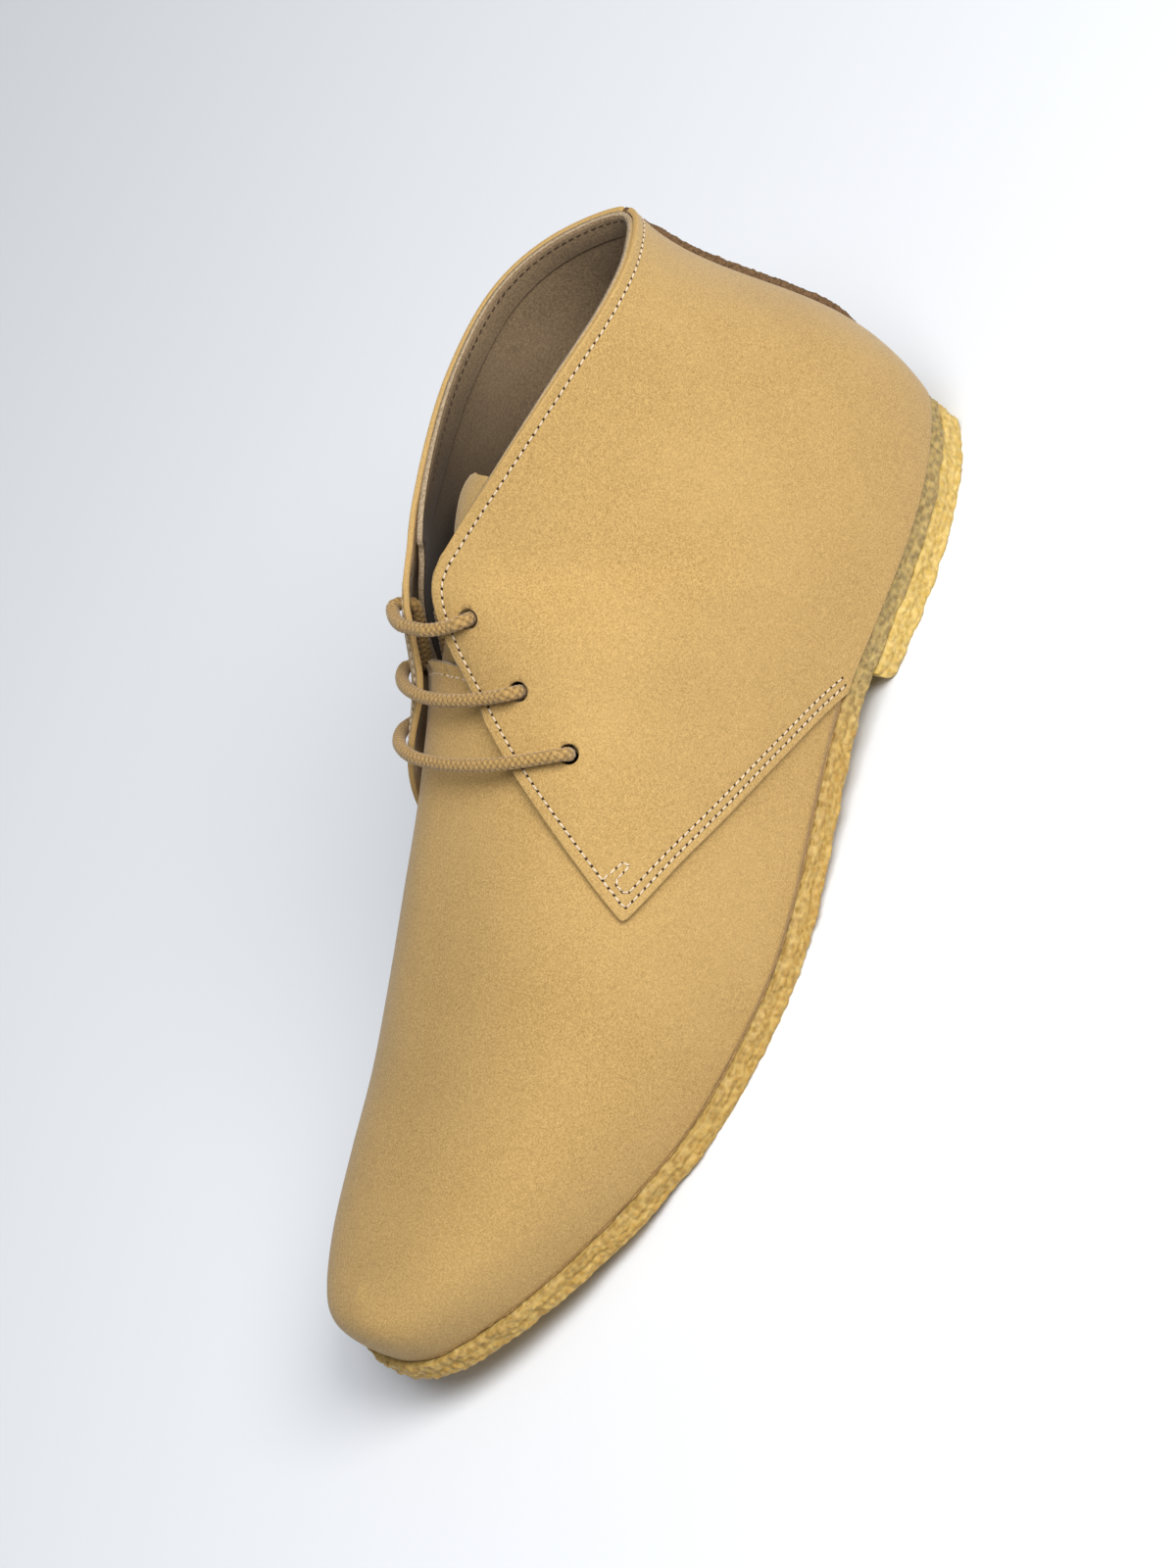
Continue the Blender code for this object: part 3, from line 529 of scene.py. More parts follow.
def buildCrepe(name, look):
    material, tree, shader, place = startMaterial(name, 0.55, 0.0, 0.4)
    grain = addGrain(tree, place, look["fineScale"], look["patchScale"])
    tone = addNode(tree, "ShaderNodeAttribute", attribute_name="tone").outputs["Fac"]
    rubber = mixColours(tree, tone, look["honey"], look["grey"])
    cells = addNode(
        tree, "ShaderNodeTexVoronoi", {"Vector": place, "Scale": look["crumbScale"], "Smoothness": 0.4},
        feature="SMOOTH_F1",
    )
    seams = ranged(tree, cells.outputs["Distance"], *look["crumbEdges"])
    crumb = mixColours(tree, seams, rubber, look["pale"])
    pits = ranged(tree, grain.outputs["Speckle"], *look["pits"])
    tree.links.new(mixColours(tree, pits, crumb, look["brown"]), shader.inputs["Base Color"])
    shader.inputs["Subsurface Weight"].default_value = look["glow"]
    shader.inputs["Subsurface Radius"].default_value = look["glowReach"]
    shader.inputs["Subsurface Scale"].default_value = 1.0
    hollow = scaled(tree, cells.outputs["Distance"], look["crumbRelief"])
    addBump(tree, shader, summed(tree, hollow, grain.outputs["Height"]), *look["bump"])
    return material


liningLook = {
    "light": (0.290, 0.200, 0.118, 1.0),
    "base": (0.260, 0.178, 0.100, 1.0),
    "dark": (0.120, 0.080, 0.044, 1.0),
    # painted shade over the lining toward the front of the opening, and the span of x over which it comes
    # in
    "deep": (0.062, 0.040, 0.022, 1.0),
    "deepSpan": (-0.095, -0.045),
    "fineScale": 2600.0,
    "patchScale": 60.0,
    "patch": 0.35,
    "sheen": 0.10,
    "creases": 0.5,
}


cordLook = {
    "crown": (0.430, 0.265, 0.090, 1.0),
    # painted shade in the braid's valleys between strands
    "paintedValleyShade": (0.110, 0.060, 0.018, 1.0),
    "fibre": (0.580, 0.390, 0.160, 1.0),
    "fibreScale": 2200.0,
    "fuzz": (0.5, 0.75, 0.6),
    "bump": (0.0002, 0.6),
}


def buildCord(name, look):
    material, tree, shader, place = startMaterial(name, 0.9, 0.3, 0.2)
    relief = addNode(tree, "ShaderNodeAttribute", attribute_name="relief").outputs["Fac"]
    inputs = {"Vector": place, "Scale": look["fibreScale"], "Detail": 2.0}
    fibre = addNode(tree, "ShaderNodeTexNoise", inputs).outputs["Fac"]
    # the braid's valleys between strands get a painted shade colour
    strands = mixColours(tree, relief, look["paintedValleyShade"], look["crown"])
    fuzz = ranged(tree, fibre, *look["fuzz"])
    tree.links.new(mixColours(tree, fuzz, strands, look["fibre"]), shader.inputs["Base Color"])
    addBump(tree, shader, fibre, *look["bump"])
    return material


def buildGrained(name, dark, light, roughness, fineScale, patchScale):
    material, tree, shader, place = startMaterial(name, roughness, 0.0, 0.2)
    grain = addGrain(tree, place, fineScale, patchScale)
    tree.links.new(mixColours(tree, grain.outputs["Speckle"], dark, light), shader.inputs["Base Color"])
    addBump(tree, shader, grain.outputs["Height"], *grainBump)
    return material


suede = buildSuede("suede", suedeLook)
crepe = buildCrepe("crepe", crepeLook)
liftCrepe = buildCrepe("liftCrepe", liftLook)
lining = buildSuede("lining", liningLook)
braid = buildCord("braid", cordLook)

# small finishes: dark and light of the speckle, roughness, scale of the grain and of its patches
edgeLooks = {
    "rawEdge": ((0.075, 0.042, 0.020, 1), (0.200, 0.115, 0.055, 1), 0.95, 1600, 300),
    "cutEdge": ((0.390, 0.250, 0.095, 1), (0.500, 0.325, 0.125, 1), 0.95, 2400, 300),
    "foldEdge": ((0.230, 0.165, 0.100, 1), (0.460, 0.350, 0.225, 1), 0.9, 2600, 300),
    "cement": ((0.240, 0.135, 0.045, 1), (0.400, 0.250, 0.090, 1), 0.8, 1600, 200),
    "thread": ((0.460, 0.345, 0.215, 1), (0.760, 0.630, 0.460, 1), 0.7, 3000, 500),
    "darkThread": ((0.030, 0.018, 0.010, 1), (0.080, 0.050, 0.030, 1), 0.8, 3000, 500),
    # near-black discs of painted shade for the needle holes
    "needleHoleShade": ((0.020, 0.010, 0.005, 1), (0.060, 0.032, 0.015, 1), 1.0, 3000, 500),
}
edges = {name: buildGrained(name, *look) for name, look in edgeLooks.items()}
print("materials built")


# mesh helpers


# a grid of points laid out by place(column, row)
def shapedGrid(columns, rows, place):
    form = bmesh.new()
    bmesh.ops.create_grid(form, x_segments=columns, y_segments=rows, size=0.5)
    for vertex in form.verts:
        vertex.co = place(round((vertex.co.x + 0.5) * columns), round((vertex.co.y + 0.5) * rows))
    return form


def takeMesh(name, form):
    mesh = bpy.data.meshes.new(name)
    form.to_mesh(mesh)
    form.free()
    return mesh


def addItem(name, data):
    item = bpy.data.objects.new(name, data)
    bpy.context.scene.collection.objects.link(item)
    return item


def makePiece(name, form, materials, nodes=(), sharp=35):
    bmesh.ops.translate(form, verts=form.verts, vec=shoeOrigin)
    mesh = takeMesh(name, form)
    piece = addItem(name, mesh)
    for material in materials:
        mesh.materials.append(material)
    mesh.shade_smooth()
    mesh.set_sharp_from_angle(angle=math.radians(sharp))
    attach(piece, "root")
    if nodes:
        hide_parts(*nodes)
    return piece


# keeps what the modifiers make, and takes them off
def settle(piece):
    bpy.context.view_layer.update()
    shapes = bpy.context.evaluated_depsgraph_get()
    mesh = bpy.data.meshes.new_from_object(piece.evaluated_get(shapes), depsgraph=shapes)
    piece.modifiers.clear()
    piece.data = mesh
    return piece


def addWall(piece, thickness, innerMaterial, rimMaterial):
    wall = piece.modifiers.new("wall", "SOLIDIFY")
    wall.thickness = thickness
    wall.offset = -1
    wall.material_offset = innerMaterial
    wall.material_offset_rim = rimMaterial
    return wall


def addRounding(piece, width, segments=3):
    rounding = piece.modifiers.new("rounding", "BEVEL")
    rounding.width = width
    rounding.segments = segments
    rounding.limit_method = "ANGLE"
    rounding.angle_limit = math.radians(50)
    rounding.use_clamp_overlap = False
    rounding.loop_slide = False
    return rounding


# welds doubles, closes what is open if asked, and turns the faces outward
def tidyForm(form, weld, fill=False):
    bmesh.ops.remove_doubles(form, verts=form.verts, dist=weld)
    if fill:
        bmesh.ops.holes_fill(form, edges=[edge for edge in form.edges if edge.is_boundary], sides=0)
    bmesh.ops.recalc_face_normals(form, faces=form.faces)


def makeFence(points):
    fence = KDTree(len(points))
    for index, point in enumerate(points):
        fence.insert(point, index)
    fence.balance()
    return fence


# each point averaged with its neighbours, the ends kept
def averaged(points, rounds):
    for _ in range(rounds):
        middle = [
            (points[i - 1] + points[i] * 2 + points[i + 1]) / 4 for i in range(1, len(points) - 1)
        ]
        points = [points[0]] + middle + [points[-1]]
    return points


def lengthsAlong(points):
    total = [0.0]
    for first, second in zip(points, points[1:]):
        total.append(total[-1] + (second - first).length)
    return total


# span narrowed to the place where a test turns true
def halved(test, low, high, rounds):
    for _ in range(rounds):
        middle = (low + high) / 2
        if test(middle):
            high = middle
        else:
            low = middle
    return low, high


# points at an even pitch along a line
def evenly(points, pitch):
    total = lengthsAlong(points)
    count = max(int(round(total[-1] / pitch)), 1)
    result, index = [], 0
    for step in range(count + 1):
        goal = total[-1] * step / count
        while index < len(points) - 2 and total[index + 1] < goal:
            index += 1
        span = max(total[index + 1] - total[index], 1e-9)
        result.append(points[index].lerp(points[index + 1], min((goal - total[index]) / span, 1.0)))
    return result


# upper: one lasted shell, napped outside and lined inside

upperShape = {
    "stepsPerRow": 8,
    "sectionSteps": 84,
    "slitWidth": 0.0056,
    "slitStart": 1.1,
    "slitEnd": 0.6,
    "flapTop": 0.447,
    "closedRow": 10.6,
    "weld": 0.00003,
    "ridgeBlend": (0.7, 0.3),
    "cutReach": 1.6,  # in section steps
    "cutShare": 0.4,
    "flapReach": 0.0024,
    "flapShare": 0.7,
}


def holeShares(side):
    return [Vector((row, ofSide(side, out, into), 0)) for row, out, into in laceHoles]


# line of the slit beside the flap: (row, share) from below the lowest hole to the collar
def slitLine(side):
    holes = holeShares(side)
    first = holes[0] + (holes[0] - holes[1]) * upperShape["slitStart"]
    last = holes[-1] + (holes[-1] - holes[-2]) * upperShape["slitEnd"]
    return [(point.x, point.y) for point in smoothLine([last] + holes[::-1] + [first], 6)]


slitLines = {side: slitLine(side) for side in (outer, inner)}


# row and side of a place on the ring that runs from the toe along the outer side, round the heel and back
def onRing(row):
    return (row, outer) if row <= lastRow else (2 * lastRow - row, inner)


# the two sides share one ridge as far back as the flap
def shellPoint(row, share, side):
    point = lastPoint(row, share, side)
    if row < upperShape["closedRow"]:
        middle = (lastPoint(row, 1.0, outer) + lastPoint(row, 1.0, inner)) / 2
        start, span = upperShape["ridgeBlend"]
        point += (middle - lastPoint(row, 1.0, side)) * smoothStep((share - start) / span)
    return point


def buildUpper():
    columns = 2 * lastRow * upperShape["stepsPerRow"]
    steps = upperShape["sectionSteps"]
    form = bmesh.new()
    bmesh.ops.create_grid(form, x_segments=columns, y_segments=steps, size=0.5)
    flapX = upperShape["flapTop"] * lastSizes["soleLength"]
    places = {}
    for vertex in form.verts:
        row, side = onRing(round((vertex.co.x + 0.5) * columns) / upperShape["stepsPerRow"])
        places[vertex] = [row, round((vertex.co.y + 0.5) * steps) / steps, side]
    sectionLengths = {}

    def halfSlit(row, side):  # half the slit's width as a share of the section
        key = (row, side)
        if key not in sectionLengths:
            points = [lastPoint(row, share / 10, side) for share in range(11)]
            sectionLengths[key] = lengthsAlong(points)[-1]
        return upperShape["slitWidth"] / 2 / sectionLengths[key]

    gone = []
    for face in form.faces:
        spots = [places[vertex] for vertex in face.verts]
        side = outer if sum(spot[2] for spot in spots) >= 0 else inner
        row = sum(spot[0] for spot in spots) / len(spots)
        share = sum(spot[1] for spot in spots) / len(spots)
        line = slitLines[side]
        if row < line[0][0] or row > line[-1][0]:
            continue
        slit = readLine(line, row)
        inSlit = abs(share - slit) < halfSlit(row, side)
        inThroat = share > slit and lastPoint(row, share, side).x < flapX
        if inSlit or inThroat:
            gone.append(face)
    bmesh.ops.delete(form, geom=gone, context="FACES")
    # the cut's edge vertices are brought onto the slit's sides and the flap's top line
    for edge in form.edges:
        if len(edge.link_faces) != 1:
            continue
        for vertex in edge.verts:
            row, share, side = places[vertex]
            line = slitLines[side]
            if share < upperShape["cutShare"] or row < line[0][0] - 0.2 or row > line[-1][0]:
                continue
            slit, half = readLine(line, row), halfSlit(row, side)
            step = upperShape["cutReach"] / steps
            if abs(share - slit + half) < step and row > line[0][0]:
                places[vertex][1] = slit - half
            elif abs(share - slit - half) < step and row > line[0][0] and share < 1:
                places[vertex][1] = slit + half
    for vertex, (row, share, side) in places.items():
        if vertex.is_valid:
            vertex.co = shellPoint(row, min(share, 1.0), side)
    for vertex in form.verts:
        row, share, side = places[vertex]
        nearFlap = vertex.is_boundary and abs(vertex.co.x - flapX) < upperShape["flapReach"]
        if nearFlap and share > max(upperShape["flapShare"], readLine(slitLines[side], row) + 0.02):
            vertex.co.x = flapX
    tidyForm(form, upperShape["weld"])
    tree = BVHTree.FromBMesh(form)
    upper = makePiece("upperShell", form, [suede, lining, edges["foldEdge"]], ["upper"])
    addWall(upper, lastSizes["upperWall"], 1, 2)
    settle(upper)
    print("upper built:", len(upper.data.polygons), "faces")
    return tree


upperTree = buildUpper()


# quarters: one overlay on each side, cut along the facing and the front seam

quarterShape = {
    "tipRounding": 0.09,
    "edgeColumns": (
        0, 0.045, 0.075, 0.105, 0.135, 0.165, 0.195, 0.225, 0.255, 0.29, 0.33, 0.38, 0.44, 0.52, 0.62,
    ),
    "innerColumns": 96,
    "shareSteps": 84,
    "topShare": 0.954,
    "tipShares": (-0.018, -0.009, 0, 0.009, 0.018),
    "tipClear": 0.006,
    "facingRows": (7.0, 12.6),
    "seamRows": (7.0, 13.2),
    "backRows": (15.5, 17.0),
    "collarShares": (0.046, 0.038, 0.031, 0.025, 0.019, 0.013, 0.007),
    "edgeRounding": 0.00045,
    "cornerRounding": {outer: 0.010, inner: 0.010},
    "rowSpacing": 0.020,
    "seamWidth": 0.0022,
    "holeDiameter": 0.0052,
}


def facingPoint(row, side):
    x, out, into = row
    return (x * lastSizes["soleLength"], ofSide(side, out, into) * lastSizes["ballWidth"], 0)


facingPoints = {
    side: [(p.x, p.y) for p in smoothLine([facingPoint(row, side) for row in facingEdge], 6)]
    for side in (outer, inner)
}


def seamPoint(x, z):
    x *= lastSizes["soleLength"]
    return (x, z * lastSizes["instepHeight"] + soleHeight(x) + lastSizes["soleThickness"], 0)


seamPoints = [(p.x, p.y) for p in smoothLine([seamPoint(x, z) for x, z in frontSeam], 6)]


# row where a test turns true between two rows
def crossing(test, low, high):
    return low if test(low) else halved(test, low, high, 17)[1]


@lru_cache(maxsize=None)
def frontRows(share, side):
    def behindFacing(row):
        point = quarterPoint(row, share, side)
        return side * (point.y - readLine(facingPoints[side], point.x)) > 0

    def behindSeam(row):
        point = quarterPoint(row, share, side)
        return point.z > readLine(seamPoints, point.x)

    facing = crossing(behindFacing, *quarterShape["facingRows"])
    return facing, crossing(behindSeam, *quarterShape["seamRows"])


# first row of a quarter at a share: the later of the facing's and the seam's, rounded where they meet
def firstRow(share, side):
    facing, seam = frontRows(share, side)
    span = quarterShape["tipRounding"]
    blend = min(max(0.5 + 0.5 * (facing - seam) / span, 0.0), 1.0)
    row = seam + (facing - seam) * blend + span * blend * (1 - blend)
    radius = quarterShape["cornerRounding"][side]
    depth = (lastPoint(row, 1.0, side) - lastPoint(row, share, side)).length
    if share > 0.8 and depth < radius:  # the corner between facing and collar
        row += radius * (1 - math.sqrt(1 - (1 - depth / radius) ** 2)) / quarterShape["rowSpacing"]
    return row


# last row of a quarter at a share: beside the back seam
def finalRow(share, side):
    middle = footPoint(lastRow, outer).y
    stop = quarterShape["seamWidth"] / 2 + lastSizes["gap"]

    def atSeam(row):
        return side * (quarterPoint(row, share, side).y - middle) < stop

    return crossing(atSeam, *quarterShape["backRows"])


# share at which the facing and the front seam meet
def tipShare(side):
    def pastTip(share):
        facing, seam = frontRows(share, side)
        return facing > seam

    return sum(halved(pastTip, 0.3, 0.9, 17)) / 2


def quarterShares(side):
    tip = tipShare(side)
    near = [tip + step for step in quarterShape["tipShares"]]
    steps = quarterShape["shareSteps"]
    even = [quarterShape["topShare"] * step / steps for step in range(steps)]
    kept = [share for share in even if all(abs(share - other) > quarterShape["tipClear"] for other in near)]
    return sorted(kept + near + [1 - share for share in quarterShape["collarShares"]] + [1.0])


# grid of (row, share) places of a quarter
def quarterPlaces(side):
    edge = quarterShape["edgeColumns"]
    count = quarterShape["innerColumns"]
    places = []
    for share in quarterShares(side):
        first, final = firstRow(share, side), finalRow(share, side)
        rows = [first + step for step in edge]
        rest = final - rows[-1]
        rows += [rows[-1] + rest * step / count for step in range(1, count + 1)]
        places.append([(row, share) for row in rows])
    return places


def quarterForm(places, side):
    columns, rows = len(places[0]) - 1, len(places) - 1
    return shapedGrid(columns, rows, lambda i, j: quarterPoint(*places[j][i], side))


# a line laid a distance inside another one on the surface of a tree
def insideLine(border, distances, tree, toward):
    points = evenly(border, stitchShape["lineStep"])
    fence = makeFence(points)
    result = []
    last = len(points) - 1
    for index, point in enumerate(points):
        ahead = (points[min(index + 3, last)] - points[max(index - 3, 0)]).normalized()
        _, normal, _, _ = tree.find_nearest(point)
        across = normal.cross(ahead).normalized() * toward
        distance = distances(index / last)
        spot, _, _, _ = tree.find_nearest(point + across * distance)
        if fence.find(spot)[2] > distance * stitchShape["keep"]:
            result.append(spot)
    return result


# evens out a line and lays it back on the surface
def calm(points, tree, rounds=4):
    return [tree.find_nearest(point)[0] for point in averaged(points, rounds)]


stitchShape = {
    "pitch": 0.0023,
    "length": 0.00185,
    "width": 0.00029,
    "height": 0.00021,
    "slant": 9.0,
    "sink": 0.00004,
    # sink, thickness, stretch and size of the needle holes' discs of painted shade
    "holeSink": 0.00016,
    "holeDepth": 0.00008,
    "holeStretch": 1.4,
    "hole": 0.00038,
    "groove": 0.00022,
    "grooveWidth": 0.0007,
    "grooveStep": 0.0004,
    "facingInset": 0.0030,
    "seamInset": 0.0024,
    "rowGap": 0.0023,
    "keep": 0.93,
    "lineStep": 0.0006,
    "tabStep": 0.0005,
    "tabRise": 0.0050,
    "tabLength": 0.0048,
    "tabWidth": 0.0021,
    "archSteps": 8,
    "unevenness": 0.0015,
}
stitchLines = []  # every sewn line, as (points, surface tree, thread's name)


def sewQuarter(form, places, side):
    tree = BVHTree.FromBMesh(form)
    front = [quarterPoint(*line[0], side) for line in places]
    collar = [quarterPoint(*place, side) for place in places[-1]]
    tip = tipShare(side)
    shares = [line[0][1] for line in places]
    tipIndex = min(range(len(shares)), key=lambda index: abs(shares[index] - tip))
    seam = front[:tipIndex + 1]
    facing = front[tipIndex:]
    inward = quarterPoint(places[tipIndex][6][0], tip, side) - front[tipIndex]
    ahead = front[tipIndex + 3] - front[tipIndex - 3]
    toward = 1 if tree.find_nearest(front[tipIndex])[1].cross(ahead).dot(inward) > 0 else -1
    # first row: up the front seam, round the tip, up the facing and along the collar to the back
    border = front + collar[1:]
    seamShare = lengthsAlong(seam)[-1] / lengthsAlong(border)[-1]

    def rowInset(share):
        blend = smoothStep((share - seamShare + 0.01) / 0.03)
        return stitchShape["seamInset"] * (1 - blend) + stitchShape["facingInset"] * blend

    firstLine = calm(insideLine(border, rowInset, tree, toward), tree)
    # second row: beside the first one along the seam, then the small hairpin by the facing
    inset = stitchShape["seamInset"] + stitchShape["rowGap"]
    besides = insideLine(seam, lambda share: inset, tree, toward)
    fence = makeFence(facing)
    facingStop = stitchShape["facingInset"] + stitchShape["tabWidth"]
    secondLine = [point for point in besides if fence.find(point)[2] > facingStop]
    facingLine = insideLine(facing, lambda share: facingStop, tree, toward)
    corner = secondLine[-1]
    start = min(range(len(facingLine)), key=lambda index: (facingLine[index] - corner).length)
    run = [point for point in facingLine[start:] if (point - corner).length < stitchShape["tabRise"]]
    turn = run[-1]
    _, normal, _, _ = tree.find_nearest(turn)
    upward = (run[-1] - run[0]).normalized()
    outward = upward.cross(normal).normalized()
    if outward.dot(facingLine[start] - fence.find(facingLine[start])[0]) < 0:
        outward = -outward
    far = turn + outward * stitchShape["tabLength"]
    arch = []
    middle = far + upward * stitchShape["tabWidth"] / 2
    for step in range(1, stitchShape["archSteps"]):
        angle = math.pi * step / stitchShape["archSteps"]
        around = outward * math.sin(angle) - upward * math.cos(angle)
        arch.append(middle + around * stitchShape["tabWidth"] / 2)
    back = turn + upward * stitchShape["tabWidth"] - outward * stitchShape["tabWidth"]
    hairpin = secondLine + run + [far] + arch + [far + upward * stitchShape["tabWidth"], back]
    secondLine = [tree.find_nearest(point)[0] for point in evenly(hairpin, stitchShape["tabStep"])]
    for line in (firstLine, secondLine):
        stitchLines.append((line, tree, "seamThread"))
    return [firstLine, secondLine]


# presses a soft groove into the leather along sewn lines
def pressGrooves(form, lines):
    fence = makeFence([point for line in lines for point in evenly(line, stitchShape["grooveStep"])])
    form.normal_update()
    for vertex in form.verts:
        away = fence.find(vertex.co)[2]
        if away < stitchShape["grooveWidth"] * 3:
            depth = stitchShape["groove"] * math.exp(-(away / stitchShape["grooveWidth"]) ** 2)
            vertex.co -= vertex.normal * depth


# centre on the quarter's outer surface and outward direction of each lace hole
def holePoints(side):
    found = []
    for row, out, into in laceHoles:
        share = ofSide(side, out, into)
        found.append((quarterPoint(row, share, side), lastNormal(row, share, side)))
    return found


def cutHoles(piece, side):
    form = bmesh.new()
    radius = quarterShape["holeDiameter"] / 2
    for point, normal in holePoints(side):
        turn = Vector((0, 0, 1)).rotation_difference(normal).to_matrix().to_4x4()
        turn.translation = point + shoeOrigin
        bmesh.ops.create_cone(
            form, cap_ends=True, segments=32, radius1=radius, radius2=radius,
            depth=lastSizes["quarterWall"] * 6, matrix=turn,
        )
    punch = addItem("punch", takeMesh("punch", form))
    cut = piece.modifiers.new("punch", "BOOLEAN")
    cut.operation = "DIFFERENCE"
    cut.solver = "EXACT"
    cut.object = punch
    settle(piece)
    bpy.data.objects.remove(punch, do_unlink=True)
    return piece


def buildQuarter(name, side, node):
    places = quarterPlaces(side)
    form = quarterForm(places, side)
    bmesh.ops.recalc_face_normals(form, faces=form.faces)
    form.normal_update()
    form.faces.ensure_lookup_table()
    middle = form.faces[len(form.faces) // 2]
    if middle.normal.y * side < 0:
        bmesh.ops.reverse_faces(form, faces=form.faces)
    lines = sewQuarter(form, places, side)
    pressGrooves(form, lines)
    piece = makePiece(name, form, [suede, edges["cutEdge"]], [node])
    addWall(piece, lastSizes["quarterWall"], 0, 1)
    addRounding(piece, quarterShape["edgeRounding"])
    settle(piece)
    cutHoles(piece, side)
    print(name, "built:", len(piece.data.polygons), "faces")
    return piece


buildQuarter("quarterOuter", outer, "quarter_lateral")
buildQuarter("quarterInner", inner, "quarter_medial")


# sole: crepe sheet and heel lift with a bumpy, crumbly edge

soleShape = {
    "edge": 0.0023,
    "slimEdge": 0.25,  # share of the edge left at the heel
    "slimRows": (12.0, 4.0),
    "stepsPerRow": 44,
    "ribDepth": 0.0004,
    "bumpSize": 0.0060,
    "bumpHeight": 0.0009,
    "crumbSize": 0.0021,
    "crumbHeight": 0.0011,
    "crumbLevel": 0.45,
    "ribEdge": 0.12,
    "ribWidth": 0.07,
    "ribShare": 0.7,
    "heelBreast": 0.0775,
    "breastFillet": 0.0045,
    "breastLip": 0.0012,
    "liftEdge": -0.0003,
    "liftTone": 0.12,
    "heelTone": 0.95,
    "heelToneEnd": (0.080, 0.03),
    "topTone": 0.45,
    "topToneStart": (0.72, 0.25),
    "weld": 0.00002,
    "layers": 20,
}


def soleOutset(row):
    (start, span), slim = soleShape["slimRows"], soleShape["slimEdge"]
    return soleShape["edge"] * (slim + (1 - slim) * smoothStep((start - row) / span))


def crumble(point, seed):
    lumps = noise.noise(point / soleShape["bumpSize"] + Vector((seed, 0, 0)))
    distances, _ = noise.voronoi(point / soleShape["crumbSize"] + Vector((0, seed, 0)))
    crumbs = soleShape["crumbLevel"] - distances[0]
    return lumps * soleShape["bumpHeight"] + crumbs * soleShape["crumbHeight"]


# shallow ribs that run along the side between bottom and top
def ribProfile(level):
    edge = soleShape["ribDepth"] * (1 - smoothStep(min(level, 1 - level) / soleShape["ribEdge"]))
    ridge = math.exp(-((level - 0.5) / soleShape["ribWidth"]) ** 2)
    rib = soleShape["ribDepth"] * soleShape["ribShare"] * ridge
    return -(edge + rib)


# closed slab along the foot line: bottom and top height of an x, outset of a row
def crepeSlab(rows, bottom, top, extra, tone, seed):
    layers = soleShape["layers"]
    around = 2 * (layers + 1)

    def place(i, j):
        row = rows[i]
        j = j % around
        side = outer if j <= layers else inner
        level = j / layers if side == outer else (around - 1 - j) / layers
        base = footPoint(row, side)
        x = base.x
        low, high = bottom(x), top(x)
        out = outDirection(row, side)
        point = base + out * (soleOutset(row) + extra + ribProfile(level))
        point.z = low + (high - low) * level
        bump = crumble(point, seed)
        return point + out * bump * min(1.0, 0.7 + 2.0 * min(level, 1 - level))

    form = shapedGrid(len(rows) - 1, around, place)
    tones = form.verts.layers.float.new("tone")
    bmesh.ops.remove_doubles(form, verts=form.verts, dist=soleShape["weld"])
    bmesh.ops.dissolve_degenerate(form, edges=form.edges, dist=soleShape["weld"])
    rim = [edge for edge in form.edges if len(edge.link_faces) == 1]
    if rim:
        bmesh.ops.holes_fill(form, edges=rim, sides=0)
    bmesh.ops.recalc_face_normals(form, faces=form.faces)
    for vertex in form.verts:
        x = vertex.co.x
        low, high = bottom(x), top(x)
        vertex[tones] = tone(x, (vertex.co.z - low) / max(high - low, 1e-6))
    return form


# row where the foot line's outer side is at an x
def rowAt(x):
    return sum(halved(lambda row: footPoint(row, outer).x <= x, 2.0, float(lastRow), 30)) / 2


def soleRows(first):
    count = lastRow * soleShape["stepsPerRow"]
    rows = [lastRow * step / count for step in range(count + 1)]
    return [row for row in rows if row >= first]


def buildOutsole():
    def tone(x, level):
        (end, fade), (start, span) = soleShape["heelToneEnd"], soleShape["topToneStart"]
        heel = 1 - smoothStep((x - end) / fade)
        fore = soleShape["topTone"] * smoothStep((level - start) / span)
        return max(soleShape["heelTone"] * heel, fore)

    def top(x):
        return soleHeight(x) + lastSizes["soleThickness"]

    form = crepeSlab(soleRows(0), soleHeight, top, 0.0, tone, 3.1)
    return makePiece("crepeSole", form, [crepe], ["outsole"], sharp=60)


def buildHeel():
    def bottom(x):
        past = x - soleShape["heelBreast"]
        if past <= 0:
            return 0.0
        share = min(past / soleShape["breastFillet"], 1.0)
        return (lastSizes["heelHeight"] - soleShape["breastLip"]) * (1 - math.sqrt(1 - share ** 2))

    def top(x):
        return soleHeight(x) - lastSizes["gap"]

    shares = [1 - (step / 10) ** 2 for step in range(11)]
    starts = [rowAt(soleShape["heelBreast"] + soleShape["breastFillet"] * share) for share in shares]
    rows = starts + [row for row in soleRows(0) if row > starts[-1] + 0.04]
    form = crepeSlab(rows, bottom, top, soleShape["liftEdge"], lambda x, level: soleShape["liftTone"], 9.7)
    return makePiece("crepeHeel", form, [liftCrepe], ["heel"], sharp=60)


buildOutsole()
buildHeel()
print("sole and heel built")


# tongue under the facings

# middle line: x, z, y, half width, sag
tongueLine = (
    (0.490, 1.036, -0.078, 0.120, 0.022),
    (0.465, 1.074, -0.080, 0.120, 0.022),
    (0.440, 1.108, -0.078, 0.120, 0.024),
    (0.405, 1.160, -0.072, 0.118, 0.028),
    (0.370, 1.225, -0.062, 0.118, 0.030),
    (0.330, 1.282, -0.052, 0.122, 0.028),
    (0.293, 1.310, -0.045, 0.125, 0.025),
)
tongueShape = {
    "wall": 0.0018,
    "steps": 12,
    "columns": 28,
    "rounding": 0.0005,
    "corner": 0.12,
    "narrow": 0.40,
}


